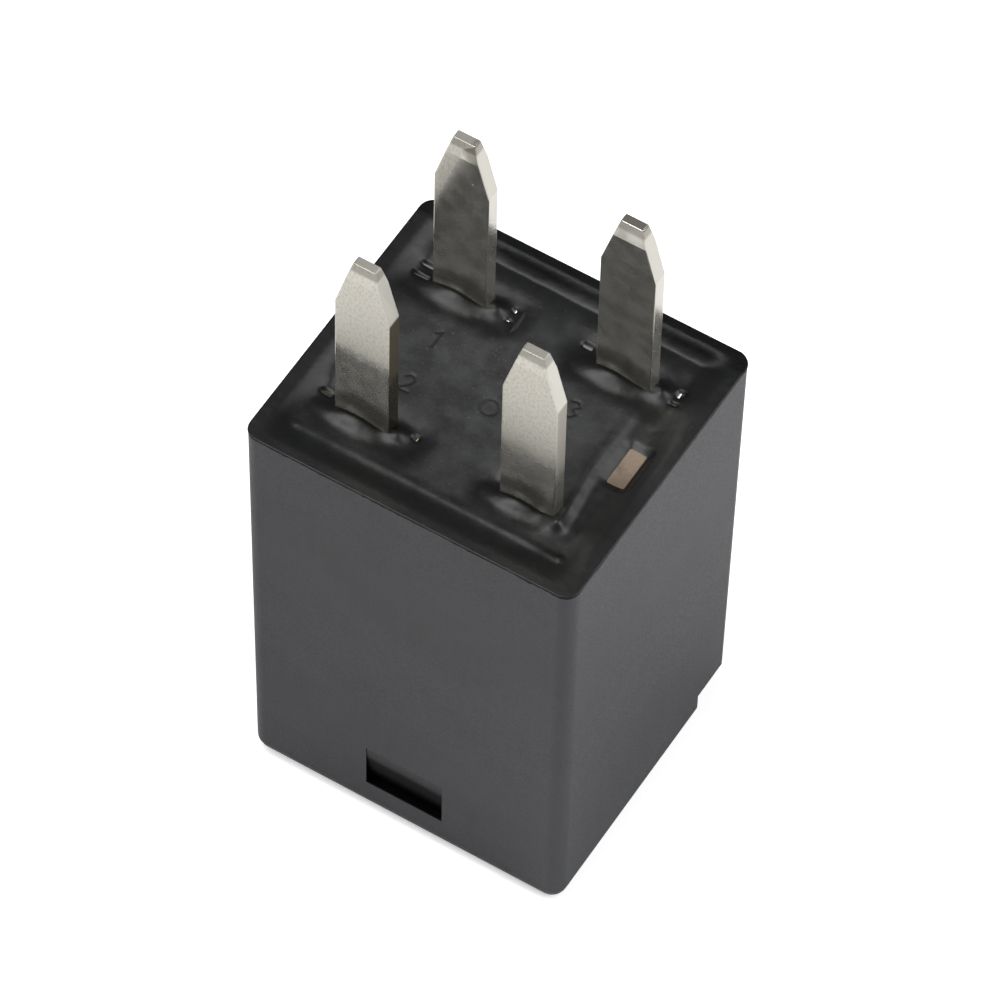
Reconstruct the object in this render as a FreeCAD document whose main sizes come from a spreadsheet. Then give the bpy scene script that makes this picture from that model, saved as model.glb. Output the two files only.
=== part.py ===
import FreeCAD, Part
import math
import os
import re
import Sketcher

# A sealed plug-in automotive relay that stands on its closed end with its four flat blades up.
# Origin: the middle of the closed end. +Z runs along the blades, -Y is the side with the pull slot,
# and +X is the side towards which the contacts lie. All sizes are in millimetres, angles in degrees.

os.makedirs("parts", exist_ok=True)
doc = FreeCAD.newDocument("relay")
sheet = doc.addObject("Spreadsheet::Sheet", "sizes")

# The driving sizes, which the sheet holds
SIZES = {
    # Cover
    "cover_width": 16.86,  # cover at its rim, along X
    "cover_depth": 15.4,  # cover at its rim, along Y
    "cover_height": 24.9,  # closed end to rim
    "cover_draft": 0.18,  # each side of the cover leans in by this at the closed end
    "cover_wall": 0.95,  # side wall
    "end_wall": 1.0,  # wall of the closed end
    "side_corner_radius": 0.75,  # upright corners
    "end_edge_radius": 0.9,  # edges round the closed end
    "rim_bevel": 0.45,  # bevel inside the rim
    "pull_slot_width": 4.05,  # slot for a pulling tool, along X
    "pull_slot_height": 2.8,  # slot for a pulling tool, along Z
    "pull_slot_floor": 2.1,  # slot's ledge above the closed end
    "pull_slot_depth": 0.48,  # slot's ledge, into the wall
    "pull_slot_lip": 0.03,  # slot's depth at its upper end, where it runs out into the side
    "step_depth": 2.7,  # raised step along the rear of the closed end
    "step_rise": 1.0,  # height of that step
    "riser_radius": 0.3,  # round and hollow of that step's riser
    "round_overlap": 0.01,  # how far the raised part's rounding tools reach past its faces

    # Blades and the terminals that carry them
    "blade_width": 2.8,  # blade, along X
    "blade_thickness": 0.8,  # blade, along Y
    "blade_reach": 10.45,  # blade tip above the rim
    "shoulder_reach": 7.4,  # start of the taper above the rim
    "tip_width": 1.15,  # blade at its tip
    "coin_depth": 0.17,  # what each face of the tip is coined away
    "coin_length": 1.0,  # length of the coined face
    "left_blade_inset": 3.91,  # left pair of blades, from the cover's left side
    "right_blade_inset": 4.48,  # right pair of blades, from the right side
    "front_blade_inset": 4.02,  # front pair of blades, from the front side
    "rear_blade_inset": 3.3,  # rear pair of blades, from the rear side
    "foot_width": 5.2,  # wider foot of each terminal
    "coil_leg_width": 1.2,  # leg of the two coil terminals
    "coil_leg_length": 3.5,  # coil terminals' legs below the base
    "flag_length": 5.6,  # flag that is welded to the yoke, below the base
    "stop_strip_inset": 1.79,  # strip that stops the moving contact, from the right side
    "stop_strip_width": 2.1,  # that strip, along Y
    "stop_strip_thickness": 1.0,  # that strip's thickness
    "stop_bend_radius": 0.5,  # inside of that strip's bend

    # Base and potting
    "base_plate": 1.5,  # base plate under the channel
    "base_clearance": 0.04,  # base inside the cover, each side
    "slot_clearance": 0.02,  # terminal in its slot, each side
    "channel_sink": 1.6,  # floor of the channel below the rim
    "potting_sink": 0.62,  # top of the potting below the rim
    "plateau_sink": 0.5,  # top of the base's plateau below the rim
    "film": 0.12,  # potting that covers the plateau
    "covered_sink": 0.3,  # foot of the front right terminal below the potting
    "foot_ledge": 0.5,  # base under the terminals' feet
    "rib_width": 0.46,  # ribs round the plateau
    "front_rib_inset": 1.8,  # middle of the front rib, from the front side
    "front_rib_left_inset": 1.6,  # left end of the front rib, from the left side
    "front_rib_right_inset": 1.7,  # right end of the front rib, from the right side
    "rear_rib_inset": 1.75,  # middle of the rear rib, from the rear side
    "rear_rib_left_inset": 4.2,  # left end of the rear rib, from the left side
    "rear_rib_right_inset": 1.85,  # right end of the rear rib, from the right side
    "right_rib_inset": 2.81,  # middle of the right rib, from the right side
    "right_rib_gap": 1.1,  # right rib's front end behind the front rib
    "field_left_inset": 1.4,  # middle field of the plateau, from the left side
    "field_front_gap": 1.38,  # middle field behind the front blades
    "field_rear_gap": 1.98,  # middle field in front of the rear blades
    "front_bridge_left_gap": 3.32,  # front bridge, from the left blades
    "front_bridge_right_gap": 2.59,  # front bridge, from the right blades
    "rear_bridge_left_gap": 2.92,  # rear bridge, from the left blades
    "rear_bridge_right_gap": 3.44,  # rear bridge, from the right blades

    # Magnet
    "yoke_thickness": 1.2,  # yoke
    "yoke_inset": 1.93,  # outer face of the yoke's upright leg, from the cover's left side
    "yoke_setback": 0.3,  # yoke's upper leg short of the armature's free end
    "yoke_arm_clearance": 0.18,  # yoke's upper leg beside the coil terminals' legs
    "yoke_bend_radius": 0.3,  # inside of the yoke's bend
    "pole_height": 6.1,  # pole face above the closed end
    "bobbin_wall": 0.6,  # wall of the bobbin's tube
    "pole_edge": 0.02,  # pole head beyond the winding
    "pole_thickness": 0.9,  # pole head
    "spigot_shoulder": 0.4,  # shoulder at the core's end in the yoke
    "stake_edge": 0.25,  # head that stakes the core, beyond its end
    "stake_height": 0.15,  # that head
    "bobbin_clearance": 0.05,  # core in the bobbin
    "bobbin_yoke_gap": 0.32,  # bobbin beside the yoke's leg
    "bobbin_tab_gap": 0.35,  # bobbin beside the fixed contact's tab
    "bobbin_flange": 0.8,  # flange thickness
    "winding_build": 0.83,  # winding, from the bobbin's tube outwards
    "bobbin_corner_radius": 0.9,  # flange corners
    "flange_margin": 0.08,  # flange beyond the winding
    "wire_thickness": 0.2,  # ends of the coil's wire

    # Armature, springs and contacts
    "open_angle": 4.0,  # armature at rest below its closed place
    "hinge_gap": 0.05,  # armature under the yoke's end when it is closed
    "armature_thickness": 1.1,  # armature
    "armature_clearance": 0.8,  # armature's free end beside the contact's head
    "armature_side": 0.42,  # armature beyond the winding, each side
    "armature_corner_radius": 0.9,  # armature's free corners
    "armature_heel_radius": 0.5,  # round under the hinge edge
    "spring_thickness": 0.2,  # contact spring
    "spring_gap": 0.02,  # spring beside the yoke
    "spring_top": 13.6,  # upper end of the spring on the yoke
    "spring_inset": 0.4,  # contact spring inside the armature's sides
    "tongue_width": 2.9,  # spring's tongue under the contact
    "knee_bulge": 0.3,  # how far the spring's knee stands out
    "knee_top": 7.0,  # where the knee starts
    "knee_radius": 0.35,  # inside of the knee's bend
    "knee_window": 2.0,  # window in the knee, along Y
    "contact_inset": 1.94,  # axis of the contacts when closed, from the stop strip's middle
    "tongue_end": 1.15,  # tongue beyond the contact's axis
    "contact_radius": 1.3,  # face of the working contacts
    "contact_head": 0.6,  # head of the working contacts
    "contact_shank_radius": 0.65,  # contact shanks
    "stop_contact_radius": 1.0,  # lower head of the moving contact
    "stop_contact_head": 0.45,  # height of that head
    "contact_dome": 4.0,  # radius of the domed contact faces
    "contact_gap": 0.05,  # left between contact faces at each end of the travel
    "contact_stake_radius": 0.9,  # stake of the fixed contact
    "contact_stake": 0.3,  # stake of the fixed contact
    "tab_thickness": 0.8,  # tab that carries the fixed contact
    "tab_left": 1.35,  # that tab's left side, from the contact's axis
    "tab_right": 1.05,  # that tab's right side, from the contact's axis
    "tab_end_y": -1.3,  # that tab's free end
    "tab_bend_radius": 0.4,  # inside of that tab's bend
    "rivet_radius": 0.55,  # rivet shanks
    "rivet_head_radius": 0.95,  # rivet heads
    "rivet_head": 0.22,  # height of the rivet heads
    "rivet_clearance": 0.03,  # rivet in its hole
    "yoke_rivet_z": 11.6,  # rivets in the yoke
    "yoke_rivet_y": 1.55,  # rivets in the yoke, each side of the middle
    "armature_rivet_inset": 1.1,  # rivets in the armature, from its free end
    "armature_rivet_side": 1.05,  # rivets in the armature, from its sides

    # Suppression resistor across the coil
    "resistor_radius": 0.9,  # resistor body
    "resistor_length": 4.2,  # resistor body
    "resistor_cap": 0.75,  # end cap's length
    "resistor_waist": 0.12,  # what the body is thinner between its caps
    "resistor_inset": 2.25,  # axis of the resistor, from the front side
    "resistor_drop": 2.6,  # axis of the resistor below the base
    "lead_radius": 0.25,  # resistor leads
    "lead_bend_radius": 0.6,  # middle line of the leads' bends
    "solder_radius": 0.55,  # solder at each lead
    "solder_height": 0.4,  # solder along the lead
}

# Lengths that follow from them
WORKED_OUT = {
    "left_blade_x": "left_blade_inset - cover_width / 2",
    "right_blade_x": "cover_width / 2 - right_blade_inset",
    "front_blade_y": "front_blade_inset - cover_depth / 2",
    "rear_blade_y": "cover_depth / 2 - rear_blade_inset",
    "stop_strip_x": "cover_width / 2 - stop_strip_inset",
    "contact_x": "stop_strip_x - contact_inset",
    "tab_left_x": "contact_x - tab_left",
    "tab_right_x": "contact_x + tab_right",
    "yoke_left_x": "yoke_inset - cover_width / 2",
    "bobbin_left_x": "yoke_left_x + yoke_thickness + bobbin_yoke_gap",
    "bobbin_right_x": "tab_left_x - bobbin_tab_gap",
    "bobbin_length": "bobbin_right_x - bobbin_left_x",
    "coil_x": "(bobbin_left_x + bobbin_right_x) / 2",
    "resistor_y": "resistor_inset - cover_depth / 2",
    "front_rib_y": "front_rib_inset - cover_depth / 2",
    "front_rib_left_x": "front_rib_left_inset - cover_width / 2",
    "front_rib_right_x": "cover_width / 2 - front_rib_right_inset",
    "rear_rib_y": "cover_depth / 2 - rear_rib_inset",
    "rear_rib_left_x": "rear_rib_left_inset - cover_width / 2",
    "rear_rib_right_x": "cover_width / 2 - rear_rib_right_inset",
    "right_rib_x": "cover_width / 2 - right_rib_inset",
    "right_rib_front_y": "front_rib_y + right_rib_gap",
    "field_left_x": "field_left_inset - cover_width / 2",
    "field_front_y": "front_blade_y + field_front_gap",
    "field_rear_y": "rear_blade_y - field_rear_gap",
    "front_bridge_left_x": "left_blade_x + front_bridge_left_gap",
    "front_bridge_right_x": "right_blade_x - front_bridge_right_gap",
    "rear_bridge_left_x": "left_blade_x + rear_bridge_left_gap",
    "rear_bridge_right_x": "right_blade_x - rear_bridge_right_gap",
    "draft_slope": "cover_draft / cover_height",
    "riser_y": "cover_depth / 2 - cover_draft - step_depth",
    "step_edge_top": "step_rise + end_edge_radius",
    "step_side_x": "cover_width / 2 - (cover_height - step_edge_top) * draft_slope + round_overlap",
    "step_rear_y": "cover_depth / 2 - (cover_height - step_edge_top) * draft_slope + round_overlap",
    "side_round_low": "step_rise - round_overlap",
    "side_round_top": "step_edge_top - round_overlap",
    "pull_slot_top": "pull_slot_floor + pull_slot_height",
    "pull_slot_sweep": "(pull_slot_height ^ 2 + pull_slot_depth ^ 2) / (2 * pull_slot_depth)",
    "pull_slot_face_y": "(cover_height - pull_slot_floor) * draft_slope - cover_depth / 2",
    "pull_slot_top_y": "(cover_height - pull_slot_top) * draft_slope - cover_depth / 2",
    "cavity_half_width": "cover_width / 2 - cover_wall",
    "cavity_half_depth": "cover_depth / 2 - cover_wall",
    "channel_floor": "cover_height - channel_sink",
    "potting_top": "cover_height - potting_sink",
    "plateau_top": "cover_height - plateau_sink",
    "base_bottom": "channel_floor - base_plate",
    "foot_under": "base_bottom + foot_ledge",
    "coil_leg_end": "base_bottom - coil_leg_length",
    "flag_end": "base_bottom - flag_length",
    "resistor_z": "base_bottom - resistor_drop",
    "yoke_top": "base_bottom",
    "yoke_under": "yoke_top - yoke_thickness",
    "yoke_half_depth": "rear_blade_y - blade_thickness / 2",
    "leg_face": "-front_blade_y - blade_thickness / 2",
    "winding_radius": "leg_face - wire_thickness",
    "bobbin_tube_radius": "winding_radius - winding_build",
    "core_radius": "bobbin_tube_radius - bobbin_wall - bobbin_clearance",
    "pole_radius": "winding_radius + pole_edge",
    "spigot_radius": "core_radius - spigot_shoulder",
    "stake_radius": "spigot_radius + stake_edge",
    "yoke_arm_depth": "2 * (leg_face - yoke_arm_clearance)",
    "flange_half_depth": "winding_radius + flange_margin",
    "winding_bottom": "pole_height + pole_thickness + bobbin_flange",
    "winding_top": "yoke_under - bobbin_flange",
    "pivot_z": "pole_height - hinge_gap",
    "contact_reach": "contact_x - yoke_left_x",
    "armature_length": "contact_reach - contact_radius - armature_clearance",
    "armature_rivet_x": "armature_length - armature_rivet_inset",
    "yoke_right_x": "yoke_left_x + armature_length - yoke_setback",
    "armature_width": "2 * (winding_radius + armature_side)",
    "armature_rivet_y": "armature_width / 2 - armature_rivet_side",
    "spring_width": "armature_width - 2 * spring_inset",
    "contact_face_z": "pivot_z - armature_thickness + contact_head + contact_gap",
    "tab_under": "contact_face_z + contact_head",
    "stop_dome_centre": "contact_dome - armature_thickness - spring_thickness - stop_contact_head",
    "stop_face_z": (
        "pivot_z - contact_reach * sin(open_angle) + stop_dome_centre * cos(open_angle)"
        " - contact_dome - contact_gap"
    ),
}

for row, (name, number) in enumerate(SIZES.items(), 1):
    sheet.set(f"A{row}", name)
    sheet.set(f"B{row}", str(number))
    sheet.setAlias(f"B{row}", name)
doc.recompute()


def linked(text):
    """The expression with every name traced back to the sheet."""

    def trace(match):
        word = match.group(0)
        if word in WORKED_OUT:
            return "(" + linked(WORKED_OUT[word]) + ")"
        return "sizes." + word if word in SIZES else word

    return re.sub(r"[a-z][a-z_]*", trace, str(text))


def value(text):
    """The number that an expression has now."""
    return float(sheet.evalExpression(linked(text)))


def body_named(name, x="0", y="0", z="0"):
    """A body with its place in the relay bound to the sheet."""
    body = doc.addObject("PartDesign::Body", name)
    body.Label = name
    for axis, text in zip("xyz", (x, y, z)):
        if text != "0":
            body.setExpression("Placement.Base." + axis, linked(text))
    return body


def swinging(body, reach="0"):
    """Places a body in the armature's own frame, which is turned down by the open angle at rest."""
    down = FreeCAD.Rotation(FreeCAD.Vector(0, 1, 0), value("open_angle"))
    body.Placement = FreeCAD.Placement(FreeCAD.Vector(), down)
    body.setExpression("Placement.Rotation.Angle", linked("open_angle"))
    body.setExpression("Placement.Base.x", linked(f"yoke_left_x + ({reach}) * cos(open_angle)"))
    body.setExpression("Placement.Base.z", linked(f"pivot_z - ({reach}) * sin(open_angle)"))


def sketch_on(body, name, plane, offset="0"):
    """An empty sketch on one of the body's own planes, moved along its normal by offset."""
    sketch = body.newObject("Sketcher::SketchObject", name)
    support = next(part for part in body.Origin.OriginFeatures if part.Role == plane)
    sketch.AttachmentSupport = [(support, "")]
    sketch.MapMode = "FlatFace"
    if offset != "0":
        sketch.setExpression("AttachmentOffset.Base.z", linked(offset))
    return sketch


def pin(sketch, line, end, x, y):
    """Holds one point of the sketch at the place that two expressions give."""
    for kind, axis, text in (("DistanceX", -2, x), ("DistanceY", -1, y)):
        if text == "0":
            sketch.addConstraint(Sketcher.Constraint("PointOnObject", line, end, axis))
        else:
            held = Sketcher.Constraint(kind, -1, 1, line, end, value(text))
            number = sketch.addConstraint(held)
            sketch.setExpression(f"Constraints[{number}]", linked(text))


def outline(sketch, corners, arcs=None):
    """Draws a closed outline through its corners.

    arcs gives the round sides by number: the middle of each one's circle and its radius.
    """
    first = sketch.GeometryCount
    spots = [FreeCAD.Vector(value(x), value(y), 0) for x, y in corners]
    sides = []
    ends = []
    for number, (start, end) in enumerate(zip(spots, spots[1:] + spots[:1])):
        if number not in (arcs or {}):
            sides.append(Part.LineSegment(start, end))
            ends.append((1, 2))
            continue
        x, y, radius = arcs[number]
        middle = FreeCAD.Vector(value(x), value(y), 0)
        outward = (start + end) / 2 - middle
        outward.normalize()
        through = middle + outward * value(radius)
        leftward = (start - middle).cross(end - middle).z > 0
        sides.append(Part.Arc(start, through, end) if leftward else Part.Arc(end, through, start))
        ends.append((1, 2) if leftward else (2, 1))
    sketch.addGeometry(sides, False)
    for number in range(len(corners)):
        following = (number + 1) % len(corners)
        joint = (first + number, ends[number][1], first + following, ends[following][0])
        sketch.addConstraint(Sketcher.Constraint("Coincident", *joint))
    for number, (x, y) in enumerate(corners):
        pin(sketch, first + number, ends[number][0], x, y)
    for number, (_, _, radius) in (arcs or {}).items():
        hold_radius(sketch, first + number, radius)


def hold_radius(sketch, line, radius):
    """Gives a circle or an arc the radius that an expression gives."""
    number = sketch.addConstraint(Sketcher.Constraint("Radius", line, value(radius)))
    sketch.setExpression(f"Constraints[{number}]", linked(radius))


def rectangle(sketch, left, low, right, high):
    """Draws an upright rectangle between two opposite corners."""
    outline(sketch, [(left, low), (right, low), (right, high), (left, high)])


def disc(sketch, x, y, radius):
    """Draws a circle."""
    centre = FreeCAD.Vector(value(x), value(y), 0)
    line = sketch.addGeometry(Part.Circle(centre, FreeCAD.Vector(0, 0, 1), value(radius)), False)
    pin(sketch, line, 3, x, y)
    hold_radius(sketch, line, radius)


def extrude(kind, body, name, sketch, length, both_ways=False, other_way=False):
    """Pads or pockets a sketch by the length that an expression gives."""
    feature = body.newObject("PartDesign::" + kind, name)
    feature.Profile = sketch
    feature.setExpression("Length", linked(length))
    feature.SideType = "Symmetric" if both_ways else "One side"
    feature.Reversed = other_way
    doc.recompute()
    return feature


def turned(body, name, corners):
    """Turns a half section, drawn in X and Z, about the body's own Z axis."""
    section = sketch_on(body, name + "_section", "XZ_Plane")
    outline(section, corners)
    feature = body.newObject("PartDesign::Revolution", name)
    feature.Profile = section
    feature.ReferenceAxis = (section, ["V_Axis"])
    feature.Angle = 360
    doc.recompute()
    return feature


def edges_where(feature, chosen):
    """The names of the edges whose box passes the test."""
    boxes = enumerate((edge.BoundBox for edge in feature.Shape.Edges), 1)
    return [f"Edge{number}" for number, box in boxes if chosen(box)]


def eased(kind, body, name, chosen, text):
    """Fillets or chamfers the chosen edges of the body's last feature."""
    last = body.Tip
    feature = body.newObject("PartDesign::" + kind, name)
    feature.Base = (last, edges_where(last, chosen))
    feature.setExpression("Radius" if kind == "Fillet" else "Size", linked(text))
    doc.recompute()
    return feature


def near(a, text, within=0.02):
    """Whether a number is the one that an expression gives."""
    return abs(a - value(text)) < within


def flat(box, axis):
    """Whether an edge lies at one place along an axis."""
    return getattr(box, axis + "Length") < 0.001


def across(box):
    """Whether an edge runs along Y and nowhere else."""
    return flat(box, "X") and flat(box, "Z") and not flat(box, "Y")


def upright(box):
    """Whether an edge runs along Z and nowhere else."""
    return flat(box, "X") and flat(box, "Y") and not flat(box, "Z")


def tapered(kind, body, name, low, across, deep):
    """A block up to the rim that is smaller at its low end by the cover's draft."""
    block = body.newObject(f"PartDesign::{kind}Wedge", name)
    block.Placement = FreeCAD.Placement(FreeCAD.Vector(), FreeCAD.Rotation(FreeCAD.Vector(1, 0, 0), 90))
    lean = f"(cover_height - {low}) * draft_slope"
    for axis, half in (("X", across), ("Z", deep)):
        block.setExpression(axis + "min", linked(f"-({half} - {lean})"))
        block.setExpression(axis + "max", linked(f"{half} - {lean}"))
        block.setExpression(axis + "2min", linked(f"-({half})"))
        block.setExpression(axis + "2max", linked(half))
    block.setExpression("Ymin", linked(low))
    block.setExpression("Ymax", linked("cover_height"))
    doc.recompute()


def cover():
    """Moulded box, open above, with a pull slot in front and a raised step behind."""
    body = body_named("cover")
    tapered("Additive", body, "shell", "0", "cover_width / 2", "cover_depth / 2")
    long_edge = value("cover_height") / 2
    eased("Fillet", body, "corners", lambda box: box.ZLength > long_edge, "side_corner_radius")
    eased("Fillet", body, "end_edges", lambda box: box.ZMax < 0.001, "end_edge_radius")
    tapered("Subtractive", body, "hollow", "end_wall", "cavity_half_width", "cavity_half_depth")
    rim_inside = value("cavity_half_width")
    eased(
        "Chamfer",
        body,
        "bevel",
        lambda box: near(box.ZMin, "cover_height") and max(box.XMax, -box.XMin) < rim_inside + 0.01,
        "rim_bevel",
    )
    inner_step = sketch_on(body, "inner_step_plan", "XY_Plane", "end_wall / 2")
    inside = "cavity_half_width - cover_draft"
    behind = "cavity_half_depth - cover_draft"
    rectangle(
        inner_step,
        f"-({inside}) - cover_wall / 4",
        "riser_y - end_wall",
        f"{inside} + cover_wall / 4",
        f"{behind} + cover_wall / 4",
    )
    extrude("Pad", body, "inner_step", inner_step, "step_rise + end_wall / 2")
    step = sketch_on(body, "step_section", "YZ_Plane")
    outline(
        step,
        [
            ("riser_y - riser_radius", "0"),
            ("riser_y", "riser_radius"),
            ("riser_y", "step_rise - riser_radius"),
            ("riser_y + riser_radius", "step_rise"),
            ("step_rear_y - end_edge_radius", "step_rise"),
            ("step_rear_y", "step_edge_top"),
            ("cover_depth", "step_edge_top"),
            ("cover_depth", "-cover_depth"),
            ("riser_y - riser_radius", "-cover_depth"),
        ],
        {
            0: ("riser_y - riser_radius", "riser_radius", "riser_radius"),
            2: ("riser_y + riser_radius", "step_rise - riser_radius", "riser_radius"),
            4: ("step_rear_y - end_edge_radius", "step_edge_top", "end_edge_radius"),
        },
    )
    extrude("Pocket", body, "step", step, "cover_width * 2", both_ways=True)
    sides = sketch_on(body, "step_side_sections", "XZ_Plane", "-riser_y")
    for side in ("", "-"):
        outline(
            sides,
            [
                (f"{side}(step_side_x - end_edge_radius)", "side_round_low"),
                (f"{side}step_side_x", "side_round_top"),
                (f"{side}cover_width", "side_round_top"),
                (f"{side}cover_width", "-cover_wall"),
                (f"{side}(step_side_x - end_edge_radius)", "-cover_wall"),
            ],
            {0: (f"{side}(step_side_x - end_edge_radius)", "side_round_top", "end_edge_radius")},
        )
    extrude("Pocket", body, "step_sides", sides, "step_depth * 2")
    slot = sketch_on(body, "pull_slot_section", "YZ_Plane")
    outline(
        slot,
        [
            ("pull_slot_top_y - cover_wall", "pull_slot_top"),
            ("pull_slot_face_y - cover_wall", "pull_slot_floor"),
            ("pull_slot_face_y + pull_slot_depth", "pull_slot_floor"),
            ("pull_slot_top_y + pull_slot_lip", "pull_slot_top"),
        ],
        {2: ("pull_slot_top_y + pull_slot_lip + pull_slot_sweep", "pull_slot_top", "pull_slot_sweep")},
    )
    extrude("Pocket", body, "pull_slot", slot, "pull_slot_width", both_ways=True)
    return body


RAISED = (
    ("field", "field_left_x", "field_front_y", "right_rib_x + rib_width / 2", "field_rear_y"),
    ("front_bridge", "front_bridge_left_x", "front_rib_y", "front_bridge_right_x", "field_front_y"),
    ("rear_bridge", "rear_bridge_left_x", "field_rear_y", "rear_bridge_right_x", "rear_rib_y"),
    (
        "front_rib",
        "front_rib_left_x",
        "front_rib_y - rib_width / 2",
        "front_rib_right_x",
        "front_rib_y + rib_width / 2",
    ),
    (
        "rear_rib",
        "rear_rib_left_x",
        "rear_rib_y - rib_width / 2",
        "rear_rib_right_x",
        "rear_rib_y + rib_width / 2",
    ),
    (
        "right_rib",
        "right_rib_x - rib_width / 2",
        "right_rib_front_y",
        "right_rib_x + rib_width / 2",
        "field_front_y",
    ),
)


def plateau(body, top):
    """The raised field with its bridges and ribs."""
    for name, left, low, right, high in RAISED:
        plan = sketch_on(body, name + "_plan", "XY_Plane", "channel_floor")
        rectangle(plan, left, low, right, high)
        extrude("Pad", body, name, plan, f"{top} - channel_floor")


COIL_LEG = "coil_leg_width / 2"
TERMINALS = (
    ("terminal_85", "left_blade_x", "front_blade_y", f"-{COIL_LEG}", COIL_LEG, "coil_leg_end", "0"),
    (
        "terminal_86",
        "right_blade_x",
        "front_blade_y",
        f"-{COIL_LEG}",
        COIL_LEG,
        "coil_leg_end",
        "covered_sink",
    ),
    ("terminal_30", "left_blade_x", "rear_blade_y", "yoke_left_x - left_blade_x", COIL_LEG, "flag_end", "0"),
    (
        "terminal_87",
        "right_blade_x",
        "rear_blade_y",
        "tab_left_x - right_blade_x",
        "tab_right_x - right_blade_x",
        "tab_under",
        "0",
    ),
)


def base():
    """Moulded plate that closes the cover, with a slot for each terminal and a plateau above."""
    body = body_named("base")
    lean = "((cover_height - base_bottom) * draft_slope + base_clearance)"
    across = f"cavity_half_width - {lean}"
    deep = f"cavity_half_depth - {lean}"
    plate = sketch_on(body, "plate_plan", "XY_Plane", "base_bottom")
    rectangle(plate, f"-({across})", f"-({deep})", across, deep)
    extrude("Pad", body, "plate", plate, "base_plate")
    plateau(body, "plateau_top")
    feet = sketch_on(body, "feet_plan", "XY_Plane", "plateau_top")
    legs = sketch_on(body, "leg_plan", "XY_Plane", "foot_under")
    low = "blade_thickness / 2 + slot_clearance"
    for _, x, y, left, right, _, _ in TERMINALS:
        foot = "foot_width / 2 + slot_clearance"
        rectangle(feet, f"{x} - ({foot})", f"{y} - ({low})", f"{x} + {foot}", f"{y} + {low}")
        rectangle(
            legs,
            f"{x} + {left} - slot_clearance",
            f"{y} - ({low})",
            f"{x} + {right} + slot_clearance",
            f"{y} + {low}",
        )
    extrude("Pocket", body, "feet_slots", feet, "plateau_top - foot_under")
    extrude("Pocket", body, "leg_slots", legs, "foot_ledge")
    strip = sketch_on(body, "strip_plan", "XY_Plane", "channel_floor")
    half_width = "stop_strip_width / 2 + slot_clearance"
    half_thickness = "stop_strip_thickness / 2 + slot_clearance"
    rectangle(
        strip,
        f"stop_strip_x - ({half_thickness})",
        f"-({half_width})",
        f"stop_strip_x + {half_thickness}",
        half_width,
    )
    extrude("Pocket", body, "strip_slot", strip, "base_plate")
    recess = sketch_on(body, "recess_plan", "XY_Plane", "base_bottom")
    disc(recess, "coil_x", "0", "stake_radius + 4 * bobbin_clearance")
    extrude("Pocket", body, "recess", recess, "2 * stake_height", other_way=True)
    return body


def sealant(solids):
    """Potting poured round the terminals, level in the channel and pockets and thin on the plateau."""
    form = body_named("potting_form")
    block = sketch_on(form, "block_plan", "XY_Plane", "channel_floor")
    reach_x = "cover_width / 2 - cover_wall / 2"
    reach_y = "cover_depth / 2 - cover_wall / 2"
    rectangle(block, f"-({reach_x})", f"-({reach_y})", reach_x, reach_y)
    extrude("Pad", form, "block", block, "potting_top - channel_floor")
    plateau(form, "plateau_top + film")
    high = value("plateau_top + film")
    eased("Fillet", form, "film_edges", lambda box: flat(box, "Z") and near(box.ZMin, high), "film * 0.8")
    rest = form
    for number, taken in enumerate(solids):
        last = number == len(solids) - 1
        left_over = doc.addObject("Part::Cut", "sealant" if last else f"potting_beside_{taken.Name}")
        left_over.Base = rest
        left_over.Tool = taken
        rest = left_over
    rest.Label = "sealant"
    doc.recompute()
    return rest


def terminal(name, x, y, left, right, low, covered):
    """Flat stamping: tapered blade, wide foot in the base and a leg below it."""
    body = body_named(name, x, y)
    half = "blade_width / 2"
    foot = "foot_width / 2"
    tip = "tip_width / 2"
    top = "cover_height + blade_reach"
    shoulder = "cover_height + shoulder_reach"
    foot_top = f"potting_top - {covered}"
    profile = sketch_on(body, name + "_profile", "XZ_Plane")
    outline(
        profile,
        [
            (left, low),
            (left, "foot_under"),
            (f"-{foot}", "foot_under"),
            (f"-{foot}", foot_top),
            (f"-{half}", foot_top),
            (f"-{half}", shoulder),
            (f"-{tip}", top),
            (tip, top),
            (half, shoulder),
            (half, foot_top),
            (foot, foot_top),
            (foot, "foot_under"),
            (right, "foot_under"),
            (right, low),
        ],
    )
    extrude("Pad", body, name + "_sheet", profile, "blade_thickness", both_ways=True)
    return body


def coined(body, name):
    """Takes a sloping flat off the front and the rear of the blade's tip."""
    top = "cover_height + blade_reach"
    section = sketch_on(body, name + "_coin_section", "YZ_Plane")
    for way in ("", "-"):
        face = f"{way}(blade_thickness / 2)"
        ground = f"{way}(blade_thickness / 2 - coin_depth)"
        beyond = f"{way}(blade_thickness / 2 + coin_depth)"
        low = f"{top} - coin_length"
        high = f"{top} + coin_length"
        outline(section, [(face, low), (ground, top), (ground, high), (beyond, high), (beyond, low)])
    extrude("Pocket", body, name + "_coin", section, "blade_width * 2", both_ways=True)


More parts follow.
